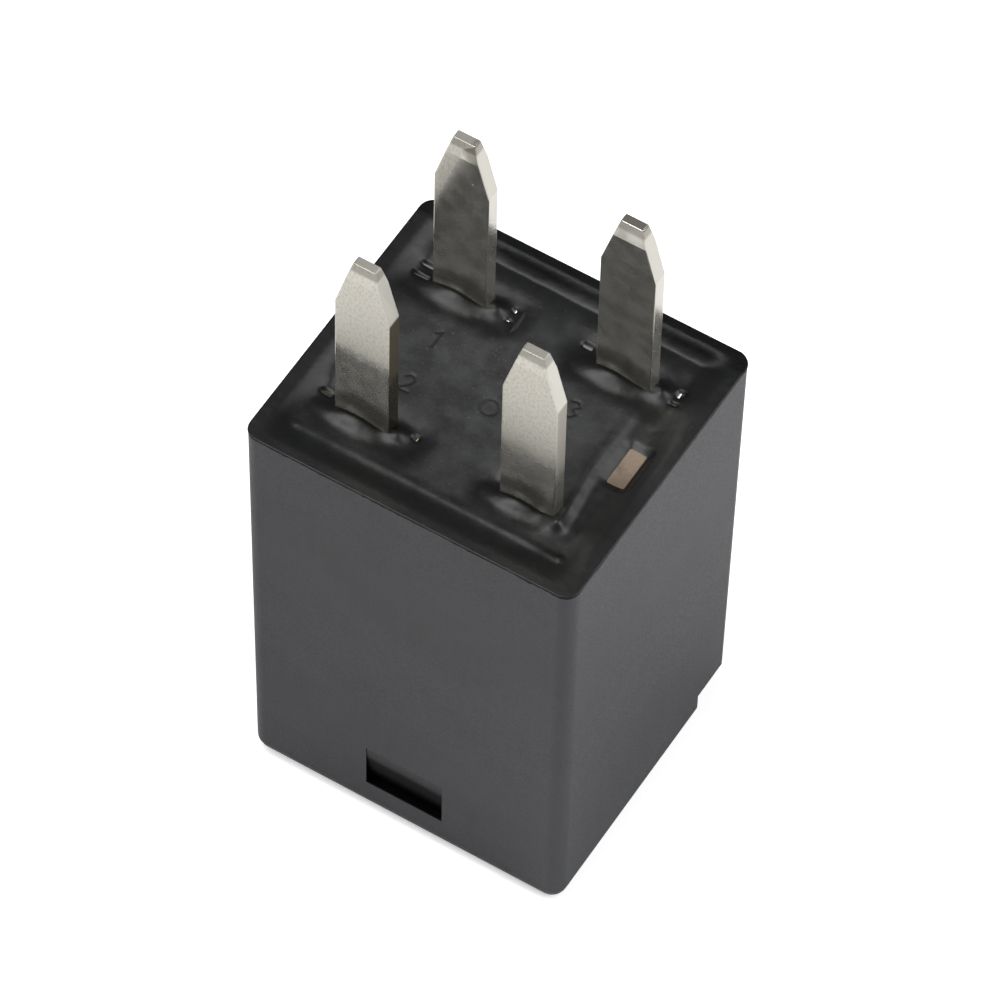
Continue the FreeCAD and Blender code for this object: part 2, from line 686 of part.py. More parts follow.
def terminals():
    """The four terminals; the last one carries the fixed contact on a tab."""
    made = {row[0]: terminal(*row) for row in TERMINALS}
    name, x, y = TERMINALS[3][:3]
    body = made[name]
    tab = sketch_on(body, "tab_plan", "XY_Plane", "tab_under")
    rectangle(tab, f"tab_left_x - {x}", f"tab_end_y - {y}", f"tab_right_x - {x}", "blade_thickness / 2")
    extrude("Pad", body, "tab", tab, "tab_thickness")
    inner = "-blade_thickness / 2"
    eased(
        "Fillet",
        body,
        "tab_bend_inside",
        lambda box: near(box.YMin, inner) and near(box.ZMin, "tab_under + tab_thickness") and flat(box, "Z"),
        "tab_bend_radius",
    )
    eased(
        "Fillet",
        body,
        "tab_bend_outside",
        lambda box: near(box.YMin, "blade_thickness / 2") and near(box.ZMin, "tab_under") and flat(box, "Z"),
        "tab_bend_radius + tab_thickness / 2",
    )
    hole = sketch_on(body, "contact_hole_plan", "XY_Plane", "tab_under + tab_thickness")
    disc(hole, f"contact_x - {x}", f"-({y})", "contact_shank_radius")
    extrude("Pocket", body, "contact_hole", hole, "tab_thickness")
    for name, body in made.items():
        coined(body, name)
    return list(made.values())


def stop_strip():
    """Stamped strip whose foot stops the moving contact and whose cut end shows in the potting."""
    body = body_named("stop_strip")
    inner = "stop_strip_x - stop_strip_thickness / 2"
    outer = "stop_strip_x + stop_strip_thickness / 2"
    toe = "contact_x - stop_contact_radius"
    foot_under = "stop_face_z - stop_strip_thickness"
    profile = sketch_on(body, "strip_profile", "XZ_Plane")
    outline(
        profile,
        [
            (toe, foot_under),
            (outer, foot_under),
            (outer, "potting_top"),
            (inner, "potting_top"),
            (inner, "stop_face_z"),
            (toe, "stop_face_z"),
        ],
    )
    extrude("Pad", body, "strip", profile, "stop_strip_width", both_ways=True)
    eased(
        "Fillet",
        body,
        "strip_bend_inside",
        lambda box: across(box) and near(box.XMin, inner) and near(box.ZMin, "stop_face_z"),
        "stop_bend_radius",
    )
    eased(
        "Fillet",
        body,
        "strip_bend_outside",
        lambda box: across(box) and near(box.XMin, outer) and near(box.ZMin, foot_under),
        "stop_bend_radius + stop_strip_thickness",
    )
    return body


def yoke():
    """Bent steel angle: its upper leg lies under the base, and the armature rocks on its lower end."""
    body = body_named("yoke")
    profile = sketch_on(body, "angle_profile", "XZ_Plane")
    inner = "yoke_left_x + yoke_thickness"
    outline(
        profile,
        [
            ("yoke_left_x", "pole_height"),
            (inner, "pole_height"),
            (inner, "yoke_under"),
            ("yoke_right_x", "yoke_under"),
            ("yoke_right_x", "yoke_top"),
            ("yoke_left_x", "yoke_top"),
        ],
    )
    extrude("Pad", body, "angle", profile, "yoke_half_depth * 2", both_ways=True)
    eased(
        "Fillet",
        body,
        "bend_inside",
        lambda box: across(box) and near(box.XMin, inner) and near(box.ZMin, "yoke_under"),
        "yoke_bend_radius",
    )
    eased(
        "Fillet",
        body,
        "bend_outside",
        lambda box: across(box) and near(box.XMin, "yoke_left_x") and near(box.ZMin, "yoke_top"),
        "yoke_bend_radius + yoke_thickness",
    )
    waist = sketch_on(body, "waist_plan", "XY_Plane", "yoke_top")
    beyond = "yoke_right_x + yoke_thickness"
    side = "yoke_half_depth + yoke_thickness"
    rectangle(waist, inner, "yoke_arm_depth / 2", beyond, side)
    rectangle(waist, inner, f"-({side})", beyond, "-yoke_arm_depth / 2")
    extrude("Pocket", body, "waist", waist, "yoke_thickness + yoke_bend_radius")
    spigot = sketch_on(body, "spigot_plan", "XY_Plane", "yoke_top")
    disc(spigot, "coil_x", "0", "spigot_radius")
    extrude("Pocket", body, "spigot_hole", spigot, "yoke_thickness")
    holes = sketch_on(body, "rivet_plan", "YZ_Plane", inner)
    disc(holes, "yoke_rivet_y", "yoke_rivet_z", "rivet_radius")
    disc(holes, "-yoke_rivet_y", "yoke_rivet_z", "rivet_radius")
    extrude("Pocket", body, "rivet_holes", holes, "yoke_thickness")
    return body


def core():
    """Turned steel core with a wide pole head, staked in the yoke."""
    body = body_named("core", x="coil_x")
    pole_top = "pole_height + pole_thickness"
    stake_top = "yoke_top + stake_height"
    turned(
        body,
        "core_turning",
        [
            ("0", "pole_height"),
            ("pole_radius", "pole_height"),
            ("pole_radius", pole_top),
            ("core_radius", pole_top),
            ("core_radius", "yoke_under"),
            ("spigot_radius", "yoke_under"),
            ("spigot_radius", "yoke_top"),
            ("stake_radius", "yoke_top"),
            ("spigot_radius", stake_top),
            ("0", stake_top),
        ],
    )
    return body


def bobbin():
    """Moulded spool with oblong flanges."""
    body = body_named("bobbin", x="coil_x")
    half = "bobbin_length / 2"
    lower = "pole_height + pole_thickness"
    flange = sketch_on(body, "lower_flange_plan", "XY_Plane", lower)
    rectangle(flange, f"-{half}", "-flange_half_depth", half, "flange_half_depth")
    extrude("Pad", body, "lower_flange", flange, "bobbin_flange")
    tube = sketch_on(body, "tube_plan", "XY_Plane", lower)
    disc(tube, "0", "0", "bobbin_tube_radius")
    extrude("Pad", body, "tube", tube, f"yoke_under - ({lower})")
    flange = sketch_on(body, "upper_flange_plan", "XY_Plane", "winding_top")
    rectangle(flange, f"-{half}", "-flange_half_depth", half, "flange_half_depth")
    extrude("Pad", body, "upper_flange", flange, "bobbin_flange")
    eased("Fillet", body, "flange_corners", upright_corner, "bobbin_corner_radius")
    bore = sketch_on(body, "bore_plan", "XY_Plane", "yoke_under")
    disc(bore, "0", "0", "core_radius + bobbin_clearance")
    extrude("Pocket", body, "bore", bore, f"yoke_under - ({lower})")
    return body


def upright_corner(box):
    """Whether an edge is an upright corner of one of the bobbin's flanges."""
    return upright(box) and near(abs(box.XMin), "bobbin_length / 2")


def coil_winding():
    """Copper winding, as one turned body between the flanges."""
    body = body_named("coil_winding", x="coil_x")
    turned(
        body,
        "winding",
        [
            ("bobbin_tube_radius", "winding_bottom"),
            ("winding_radius", "winding_bottom"),
            ("winding_radius", "winding_top"),
            ("bobbin_tube_radius", "winding_top"),
        ],
    )
    return body


def coil_lead(name, blade_x, height, way):
    """End of the coil's wire, straight from the winding's side to a terminal's leg."""
    lead = doc.addObject("Part::Cylinder", name)
    lead.Label = name
    across = FreeCAD.Rotation(FreeCAD.Vector(0, 1, 0), 90 * way)
    lead.Placement = FreeCAD.Placement(FreeCAD.Vector(), across)
    lead.setExpression("Radius", linked("wire_thickness / 2"))
    lead.setExpression("Height", linked(f"abs({blade_x} - coil_x)"))
    lead.setExpression("Placement.Base.x", linked("coil_x"))
    lead.setExpression("Placement.Base.y", linked("-winding_radius - wire_thickness / 2"))
    lead.setExpression("Placement.Base.z", linked(height))
    return lead


def armature():
    """Flat steel plate that rocks on the lower end of the yoke."""
    body = body_named("armature")
    swinging(body)
    half = "armature_width / 2"
    plan = sketch_on(body, "armature_plan", "XY_Plane", "-armature_thickness")
    rectangle(plan, "0", f"-{half}", "armature_length", half)
    extrude("Pad", body, "plate", plan, "armature_thickness")
    eased(
        "Fillet",
        body,
        "free_corners",
        lambda box: upright(box) and near(box.XMin, "armature_length"),
        "armature_corner_radius",
    )
    eased(
        "Fillet",
        body,
        "heel",
        lambda box: near(box.XMax, "0") and near(box.ZMax, "-armature_thickness"),
        "armature_heel_radius",
    )
    holes = sketch_on(body, "armature_holes", "XY_Plane")
    disc(holes, "armature_rivet_x", "armature_rivet_y", "rivet_radius")
    disc(holes, "armature_rivet_x", "-armature_rivet_y", "rivet_radius")
    extrude("Pocket", body, "rivet_holes", holes, "armature_thickness")
    return body


def cylinder(name, radius, height, low="0", x="0", y="0", z="0", along="z"):
    """A cylinder from low to low + height along Z or X, with its axis at the given place."""
    made = doc.addObject("Part::Cylinder", name)
    made.setExpression("Radius", linked(radius))
    made.setExpression("Height", linked(height))
    places = {"x": x, "y": y, "z": z}
    places[along] = low
    if along == "x":
        made.Placement = FreeCAD.Placement(FreeCAD.Vector(), FreeCAD.Rotation(FreeCAD.Vector(0, 1, 0), 90))
    for axis, text in places.items():
        made.setExpression("Placement.Base." + axis, linked(text))
    return made


def fused(name, solids, kind="Part::MultiFuse"):
    """One piece made of several shapes."""
    made = doc.addObject(kind, name)
    made.Label = name
    if kind == "Part::Compound":
        made.Links = solids
    else:
        made.Shapes = solids
    doc.recompute()
    return made


def domed(name, radius, height, low, apex, way):
    """A contact head whose face is part of a ball, with its apex at a given height."""
    blank = cylinder(name + "_blank", radius, height, low)
    ball = doc.addObject("Part::Sphere", name + "_ball")
    ball.setExpression("Radius", linked("contact_dome"))
    ball.setExpression("Placement.Base.z", linked(f"{apex} - ({way}) * contact_dome"))
    return fused(name, [blank, ball], "Part::MultiCommon")


def moving_contact():
    """Silver contact riveted through the spring's tongue, with a domed face at each end."""
    top = "-armature_thickness"
    under = "-armature_thickness - spring_thickness"
    upper = domed("upper_head", "contact_radius", "contact_head", top, f"{top} + contact_head", "1")
    lower_low = f"{under} - stop_contact_head"
    lower = domed("lower_head", "stop_contact_radius", "stop_contact_head", lower_low, lower_low, "-1")
    shank = cylinder("moving_shank", "contact_shank_radius", "spring_thickness", under)
    made = fused("moving_contact", [upper, shank, lower])
    swinging(made, "contact_reach")
    return made


def fixed_contact():
    """Silver contact staked in the tab, with its domed face down."""
    head = domed("fixed_head", "contact_radius", "contact_head", "contact_face_z", "contact_face_z", "-1")
    shank = cylinder("fixed_shank", "contact_shank_radius", "tab_thickness", "tab_under")
    stake = cylinder("fixed_stake", "contact_stake_radius", "contact_stake", "tab_under + tab_thickness")
    made = fused("fixed_contact", [head, shank, stake])
    made.setExpression("Placement.Base.x", linked("contact_x"))
    return made


def yoke_rivets():
    """Two rivets that hold the spring to the yoke, flush on the inner side."""
    pair = []
    under_head = "yoke_left_x - 2 * spring_gap - spring_thickness"
    length = "2 * spring_gap + spring_thickness + yoke_thickness"
    for side, y in (("front", "-yoke_rivet_y"), ("rear", "yoke_rivet_y")):
        place = {"y": y, "z": "yoke_rivet_z", "along": "x"}
        name = side + "_yoke_rivet"
        head_at = f"{under_head} - rivet_head"
        head = cylinder(name + "_head", "rivet_head_radius", "rivet_head", head_at, **place)
        shank = cylinder(name + "_shank", "rivet_radius", length, under_head, **place)
        pair.append(fused(name, [head, shank]))
    return fused("yoke_rivets", pair, "Part::Compound")


def armature_rivets():
    """Two rivets that hold the spring to the armature, flush with its upper face."""
    pair = []
    under = "-armature_thickness - spring_thickness"
    length = "armature_thickness + spring_thickness"
    for side, y in (("front", "-armature_rivet_y"), ("rear", "armature_rivet_y")):
        place = {"x": "armature_rivet_x", "y": y}
        name = side + "_armature_rivet"
        head = cylinder(name + "_head", "rivet_head_radius", "rivet_head", f"{under} - rivet_head", **place)
        shank = cylinder(name + "_shank", "rivet_radius", length, under, **place)
        pair.append(fused(name, [head, shank]))
    made = fused("armature_rivets", pair, "Part::Compound")
    swinging(made)
    return made


def rounded_path(points, radii):
    """A wire of straight runs joined by tangent arcs, one radius for each inner point."""
    edges = []
    start = points[0]
    for before, corner, after, radius in zip(points, points[1:], points[2:], radii):
        back = (before - corner).normalize()
        ahead = (after - corner).normalize()
        half_turn = back.getAngle(ahead) / 2
        run = radius / math.tan(half_turn)
        enter = corner + back * run
        leave = corner + ahead * run
        inward = (back + ahead).normalize()
        middle = corner + inward * (radius / math.sin(half_turn) - radius)
        edges += [Part.LineSegment(start, enter).toShape(), Part.Arc(enter, middle, leave).toShape()]
        start = leave
    edges.append(Part.LineSegment(start, points[-1]).toShape())
    return Part.Wire(edges)


def contact_spring():
    """Copper-alloy leaf: flat on the yoke, bowed round the hinge, then flat under the armature."""
    turn = math.radians(value("open_angle"))
    thick = value("armature_thickness")
    hinge = FreeCAD.Vector(value("yoke_left_x"), 0, value("pivot_z"))
    half = value("spring_width") / 2

    def under_armature(reach, drop=0.0):
        across = reach * math.cos(turn) - (thick + drop) * math.sin(turn)
        down = reach * math.sin(turn) + (thick + drop) * math.cos(turn)
        return hinge + FreeCAD.Vector(across, 0, -down)

    beside = hinge.x - value("spring_gap")
    knee_x = beside - value("knee_bulge")
    knee_reach = (knee_x - hinge.x + thick * math.sin(turn)) / math.cos(turn)
    tip = value("contact_reach + tongue_end")
    path = rounded_path(
        [
            FreeCAD.Vector(beside, 0, value("spring_top")),
            FreeCAD.Vector(beside, 0, value("knee_top")),
            under_armature(knee_reach),
            under_armature(tip),
        ],
        [value("knee_radius") * 4, value("knee_radius")],
    )
    strip = path.makeOffset2D(-value("spring_thickness"), fill=True, openResult=True)
    leaf = strip.extrude(FreeCAD.Vector(0, 2 * half, 0))
    leaf.translate(FreeCAD.Vector(0, -half, 0))

    tongue_half = value("tongue_width") / 2
    tongue_start = value("armature_length") + value("spring_thickness")
    deep = value("armature_thickness") * 2
    frame = FreeCAD.Placement(hinge, FreeCAD.Rotation(FreeCAD.Vector(0, 1, 0), value("open_angle")))
    for low in (-half - 1, tongue_half):
        side = Part.makeBox(tip, half + 1 - tongue_half, deep * 2, FreeCAD.Vector(tongue_start, low, -deep))
        side.Placement = frame.multiply(side.Placement)
        leaf = leaf.cut(side)
    gap = value("rivet_clearance")
    holes = [(value("contact_reach"), 0.0, value("contact_shank_radius"))]
    rivet_y = value("armature_rivet_y")
    holes += [(value("armature_rivet_x"), y, value("rivet_radius")) for y in (-rivet_y, rivet_y)]
    for reach, y, radius in holes:
        hole = Part.makeCylinder(radius, deep * 2, FreeCAD.Vector(reach, y, -deep))
        hole.Placement = frame.multiply(hole.Placement)
        leaf = leaf.cut(hole)
    rivet_y = value("yoke_rivet_y")
    for y in (-rivet_y, rivet_y):
        start = FreeCAD.Vector(beside - 1, y, value("yoke_rivet_z"))
        hole = Part.makeCylinder(value("rivet_radius") + gap, 2, start, FreeCAD.Vector(1, 0, 0))
        leaf = leaf.cut(hole)
    window = value("knee_window")
    low = value("pole_height") - value("armature_thickness") / 2
    high = value("knee_top") + window / 2
    leaf = leaf.cut(Part.makeBox(2, window, high - low, FreeCAD.Vector(knee_x - 1, -window / 2, low)))
    made = doc.addObject("Part::Feature", "contact_spring")
    made.Label = "contact_spring"
    made.Shape = leaf
    return made


def resistor():
    """Axial resistor with a cap on each end."""
    middle = "(left_blade_x + right_blade_x) / 2"
    place = {"y": "resistor_y", "z": "resistor_z", "along": "x"}
    caps = [
        cylinder("left_cap", "resistor_radius", "resistor_cap", f"{middle} - resistor_length / 2", **place),
        cylinder(
            "right_cap",
            "resistor_radius",
            "resistor_cap",
            f"{middle} + resistor_length / 2 - resistor_cap",
            **place,
        ),
    ]
    rod = cylinder(
        "resistor_rod",
        "resistor_radius - resistor_waist",
        "resistor_length - resistor_cap",
        f"{middle} - resistor_length / 2 + resistor_cap / 2",
        **place,
    )
    blank = fused("resistor_blank", [rod] + caps)
    made = doc.addObject("Part::Chamfer", "resistor")
    made.Label = "resistor"
    made.Base = blank
    ends = [value(f"{middle} + {way} * resistor_length / 2") for way in (-1, 1)]
    bevel = value("resistor_waist")
    rims = [
        number
        for number, edge in enumerate(blank.Shape.Edges, 1)
        if edge.BoundBox.XLength < 0.001 and min(abs(edge.BoundBox.XMin - end) for end in ends) < 0.001
    ]
    made.Edges = [(number, bevel, bevel) for number in rims]
    doc.recompute()
    return made


def resistor_leads():
    """Wire at each end of the resistor, bent in to the leg of a coil terminal."""
    pair = []
    face = "front_blade_y - blade_thickness / 2"
    for side, blade, way in (("left", "left_blade_x", "-1"), ("right", "right_blade_x", "1")):
        start = f"((left_blade_x + right_blade_x) / 2 + {way} * resistor_length / 2)"
        body = body_named(side + "_lead", z="resistor_z")
        path = sketch_on(body, side + "_lead_path", "XY_Plane")
        bend = value("lead_bend_radius")
        way_x = float(way)
        corner = FreeCAD.Vector(value(blade), value("resistor_y"), 0)
        turn_in = corner - FreeCAD.Vector(way_x * bend, 0, 0)
        turn_out = corner + FreeCAD.Vector(0, bend, 0)
        centre = turn_in + FreeCAD.Vector(0, bend, 0)
        middle = centre + FreeCAD.Vector(way_x * bend, -bend, 0) / math.sqrt(2)
        run = Part.LineSegment(FreeCAD.Vector(value(start), corner.y, 0), turn_in)
        turn = Part.Arc(turn_in, middle, turn_out)
        rise = Part.LineSegment(turn_out, FreeCAD.Vector(corner.x, value(face), 0))
        path.addGeometry([run, turn, rise], False)
        arc_start, arc_end = (1, 2) if way_x > 0 else (2, 1)
        path.addConstraint(Sketcher.Constraint("Horizontal", 0))
        path.addConstraint(Sketcher.Constraint("Vertical", 2))
        path.addConstraint(Sketcher.Constraint("Tangent", 0, 2, 1, arc_start))
        path.addConstraint(Sketcher.Constraint("Tangent", 1, arc_end, 2, 1))
        pin(path, 0, 1, start, "resistor_y")
        pin(path, 2, 2, blade, face)
        number = path.addConstraint(Sketcher.Constraint("Radius", 1, bend))
        path.setExpression(f"Constraints[{number}]", linked("lead_bend_radius"))
        section = sketch_on(body, side + "_lead_section", "YZ_Plane", start)
        disc(section, "resistor_y", "0", "lead_radius")
        pipe = body.newObject("PartDesign::AdditivePipe", side + "_lead_wire")
        pipe.Profile = section
        pipe.Spine = (path, [])
        doc.recompute()
        pair.append(body)
    return fused("resistor_leads", pair, "Part::Compound")


def solder_joints():
    """Cone of solder round each lead on its terminal's leg."""
    pair = []
    out = FreeCAD.Rotation(FreeCAD.Vector(1, 0, 0), 90)
    for side, blade in (("left", "left_blade_x"), ("right", "right_blade_x")):
        cone = doc.addObject("Part::Cone", side + "_cone")
        cone.setExpression("Radius1", linked("solder_radius"))
        cone.setExpression("Radius2", linked("lead_radius * 1.1"))
        cone.setExpression("Height", linked("solder_height"))
        wire = doc.addObject("Part::Cylinder", side + "_wire_space")
        wire.setExpression("Radius", linked("lead_radius"))
        wire.setExpression("Height", linked("solder_height"))
        for made in (cone, wire):
            made.Placement = FreeCAD.Placement(FreeCAD.Vector(), out)
            made.setExpression("Placement.Base.x", linked(blade))
            made.setExpression("Placement.Base.y", linked("front_blade_y - blade_thickness / 2"))
            made.setExpression("Placement.Base.z", linked("resistor_z"))
        joint = doc.addObject("Part::Cut", side + "_solder")
        joint.Base = cone
        joint.Tool = wire
        pair.append(joint)
    return fused("solder_joints", pair, "Part::Compound")


def check_and_write(parts):
    """Stops if any object failed or any piece is not a sound solid, then writes each piece."""
    failed = [made.Name for made in doc.Objects if {"Invalid", "Error"} & set(made.State)]
    if failed:
        raise RuntimeError("failed: " + ", ".join(failed))
    for made in parts:
        if made.Shape.isNull() or not made.Shape.isValid() or not made.Shape.Solids:
            raise RuntimeError(f"{made.Label} is not a sound solid")
    for made in parts:
        made.Shape.exportStep(f"parts/{made.Label}.step")


closing = [cover(), base()] + terminals() + [stop_strip()]
pieces = closing + [
    sealant(closing),
    yoke(),
    core(),
    bobbin(),
    coil_winding(),
    coil_lead("coil_lead_start", "left_blade_x", "winding_top - wire_thickness", -1),
    coil_lead("coil_lead_end", "right_blade_x", "winding_top - wire_thickness * 3", 1),
    armature(),
    contact_spring(),
    moving_contact(),
    fixed_contact(),
    yoke_rivets(),
    armature_rivets(),
    resistor(),
    resistor_leads(),
    solder_joints(),
]
doc.recompute()
check_and_write(pieces)
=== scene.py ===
"""Dresses a sealed plug-in relay for a studio picture.

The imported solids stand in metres, closed end down and blades up. Sizes in this script are
millimetres, and MM turns them into metres. The front is -Y and the contact side is +X.
"""
import logging
import math
from collections.abc import Iterable
from dataclasses import dataclass
from enum import Enum

import bmesh
import bpy
import numpy as np
from mathutils import Matrix, Vector, noise


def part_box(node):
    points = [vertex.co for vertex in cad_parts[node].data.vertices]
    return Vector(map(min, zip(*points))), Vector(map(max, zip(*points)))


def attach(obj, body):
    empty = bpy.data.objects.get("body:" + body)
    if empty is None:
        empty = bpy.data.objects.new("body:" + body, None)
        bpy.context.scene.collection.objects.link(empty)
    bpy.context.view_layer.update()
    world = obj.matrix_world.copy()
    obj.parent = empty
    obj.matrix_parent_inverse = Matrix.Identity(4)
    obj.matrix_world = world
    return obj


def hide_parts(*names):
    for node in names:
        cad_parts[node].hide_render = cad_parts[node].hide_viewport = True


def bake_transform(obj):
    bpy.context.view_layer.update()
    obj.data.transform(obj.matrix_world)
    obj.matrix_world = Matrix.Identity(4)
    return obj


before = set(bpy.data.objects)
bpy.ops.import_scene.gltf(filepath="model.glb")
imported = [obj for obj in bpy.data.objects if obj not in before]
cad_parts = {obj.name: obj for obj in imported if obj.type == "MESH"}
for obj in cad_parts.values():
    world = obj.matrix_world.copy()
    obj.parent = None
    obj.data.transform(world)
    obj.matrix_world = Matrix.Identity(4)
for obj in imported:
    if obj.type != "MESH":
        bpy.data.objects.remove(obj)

MM = 0.001
PHOTO_PIXELS = 1000
BODY = "relay"
Socket = bpy.types.NodeSocket
log = logging.getLogger("relay")


def colour(code: str) -> tuple[float, float, float, float]:
    """Turns an sRGB hex value into the linear colour that a socket takes.

    Args:
        code: Six hex digits after a hash sign.

    Returns:
        Red, green, blue and an alpha of 1.
    """
    parts = [int(code[start:start + 2], 16) / 255 for start in (1, 3, 5)]
    linear = [part / 12.92 if part <= 0.04045 else ((part + 0.055) / 1.055) ** 2.4 for part in parts]
    return (*linear, 1.0)


def per_metre(millimetres: float) -> float:
    """Gives the texture scale whose features are about that many millimetres wide."""
    return 1 / (millimetres * MM)


def add(
    tree: bpy.types.NodeTree, kind: str, inputs: dict | None = None, **settings: object
) -> bpy.types.Node:
    """Adds one node to a tree.

    Args:
        tree: The tree that gets the node.
        kind: The node's type without its ShaderNode prefix.
        inputs: Values or sockets by the name or number of the input that they go to.
        settings: Properties of the node itself.

    Returns:
        The new node.
    """
    node = tree.nodes.new("ShaderNode" + kind)
    for name, value in settings.items():
        setattr(node, name, value)
    for key, value in (inputs or {}).items():
        if isinstance(value, Socket):
            tree.links.new(value, node.inputs[key])
        else:
            node.inputs[key].default_value = value
    return node


class Surface:
    """A material while it is being made: its tree, its shader and its object coordinates."""

    def __init__(self, name: str) -> None:
        """Starts a material that holds only a shader.

        Args:
            name: What the material is called.
        """
        self.material = bpy.data.materials.new(name)
        self.material.use_nodes = True
        self.tree = self.material.node_tree
        self.tree.nodes.clear()
        self.shader = add(self.tree, "BsdfPrincipled")
        add(self.tree, "OutputMaterial", {"Surface": self.shader.outputs[0]})
        self.texture = add(self.tree, "TexCoord")
        self.place = self.texture.outputs["Object"]

    def stretched(self, x: float, y: float, z: float) -> Socket:
        """Gives object coordinates scaled apart along the three axes."""
        return add(self.tree, "Mapping", {"Vector": self.place, "Scale": (x, y, z)}).outputs[0]

    def grain(self, size: float, detail: float = 2, place: Socket | None = None) -> Socket:
        """Gives noise with features of a size in millimetres, between about 0.3 and 0.7."""
        inputs = {"Vector": place or self.place, "Scale": per_metre(size), "Detail": detail}
        return add(self.tree, "TexNoise", inputs).outputs[0]

    def ranged(self, value: Socket, low: float, high: float, start: float, end: float) -> Socket:
        """Maps low and high to start and end with soft ends."""
        inputs = {"Value": value, "From Min": low, "From Max": high, "To Min": start, "To Max": end}
        return add(self.tree, "MapRange", inputs, interpolation_type="SMOOTHSTEP").outputs[0]

    def mixed(self, share: Socket | float, first: object, second: object) -> Socket:
        """Mixes two colours."""
        return add(self.tree, "Mix", {0: share, 6: first, 7: second}, data_type="RGBA").outputs[2]

    def calculated(self, operation: str, *values: object) -> Socket:
        """Works out one number from others."""
        return add(self.tree, "Math", dict(enumerate(values)), operation=operation).outputs[0]

    def raised(self, height: Socket, depth: float, under: Socket | None = None) -> Socket:
        """Bumps the surface.

        Args:
            height: The pattern that rises and falls.
            depth: How far it does, in millimetres.
            under: The normal that it bumps, or nothing for the mesh's own.

        Returns:
            The bumped normal.
        """
        inputs = {"Height": height, "Distance": depth * MM, "Strength": 1.0}
        if under is not None:
            inputs["Normal"] = under
        return add(self.tree, "Bump", inputs).outputs[0]

    def set(self, **values: object) -> None:
        """Sets or links the shader's sockets.

        Args:
            values: What goes to each socket, whose name's words are joined by underscores.
        """
        names = {socket.name.lower().replace(" ", "_"): socket for socket in self.shader.inputs}
        for name, value in values.items():
            if isinstance(value, Socket):
                self.tree.links.new(value, names[name])
            else:
                names[name].default_value = value


@dataclass(frozen=True)
class MouldedPlastic:
    """A filled polyester or nylon moulding, fine and even from its mould.

    The eye reads it by a satin bloom over a dark body, with a faint mottle from the filler. The
    filler's grit is too fine to show, so it is drawn as coarse as it needs. Sizes are millimetres.
    """

    name: str
    body: str
    mottle: str
    roughness: float = 0.45
    grit: float = 0.09
    relief: float = 0.004
    slot: tuple[float, float, float, float] | None = None
    patch: float = 3.2
    flow: float = 0.55
    drawn: float = 0.12
    patchy_roughness: float = 0.05
    # The slot's painted shade: a near black colour with little shine, standing for the slot's shadow and
    # some grime.
    shade_colour: str = "#060607"
    shade_shine: float = 0.03
    mouth: tuple[float, float] = (-0.02, 0.1)
    floor: tuple[float, float] = (0.6, 0.7)
    border: float = 0.05

    def material(self) -> bpy.types.Material:
        """Builds the material."""
        surface = Surface(self.name)
        patches = surface.ranged(surface.grain(self.patch, 4), 0.35, 0.65, 0, 1)
        flow = surface.grain(self.flow, 3, surface.stretched(1, 1, self.drawn))
        tone = surface.mixed(patches, colour(self.body), colour(self.mottle))
        streaked = surface.mixed(surface.ranged(flow, 0.3, 0.7, 0, 0.55), tone, colour(self.mottle))
        spread = self.patchy_roughness
        speck = surface.ranged(surface.grain(self.grit, 2), 0.3, 0.7, -spread, spread)
        rough = surface.calculated("ADD", self.roughness, speck)
        surface.set(
            base_color=streaked,
            roughness=rough,
            ior=1.5,
            normal=surface.raised(surface.grain(self.grit, 3), self.relief),
        )
        if self.slot is not None:
            # Painted shade: the slot's back wall and floor are darkened and lose their shine.
            painted_shade = self.painted_shade(surface)
            surface.set(
                base_color=surface.mixed(painted_shade, streaked, colour(self.shade_colour)),
                specular_ior_level=surface.ranged(painted_shade, 0, 1, 0.5, self.shade_shine),
            )
        return surface.material

    def painted_shade(self, surface: Surface) -> Socket:
        """Gives how deep a place lies in the slot, where painted shade darkens it.

        The slot's four numbers are its half width, its two heights and the face's place along Y.
        The painted shade begins at its mouth and ends behind its floor, counted from the face.

        Args:
            surface: The material that is being made.

        Returns:
            A share that is 1 in the slot and 0 on the rest of the cover.
        """
        half, low, high, face = (number * MM for number in self.slot)
        start, full = (face + step * MM for step in self.mouth)
        last, end = (face + step * MM for step in self.floor)
        soft = self.border * MM
        spot = add(surface.tree, "SeparateXYZ", {0: surface.place}).outputs
        near = surface.ranged(spot["Y"], start, full, 0, 1)
        far = surface.ranged(spot["Y"], last, end, 1, 0)
        depth = surface.calculated("MULTIPLY", near, far)
        side = surface.ranged(surface.calculated("ABSOLUTE", spot["X"]), half, half + soft, 1, 0)
        above = surface.ranged(spot["Z"], high, high + soft, 1, 0)
        below = surface.ranged(spot["Z"], low - soft, low, 0, 1)
        within = surface.calculated("MULTIPLY", side, surface.calculated("MULTIPLY", above, below))
        return surface.calculated("MULTIPLY", depth, within)


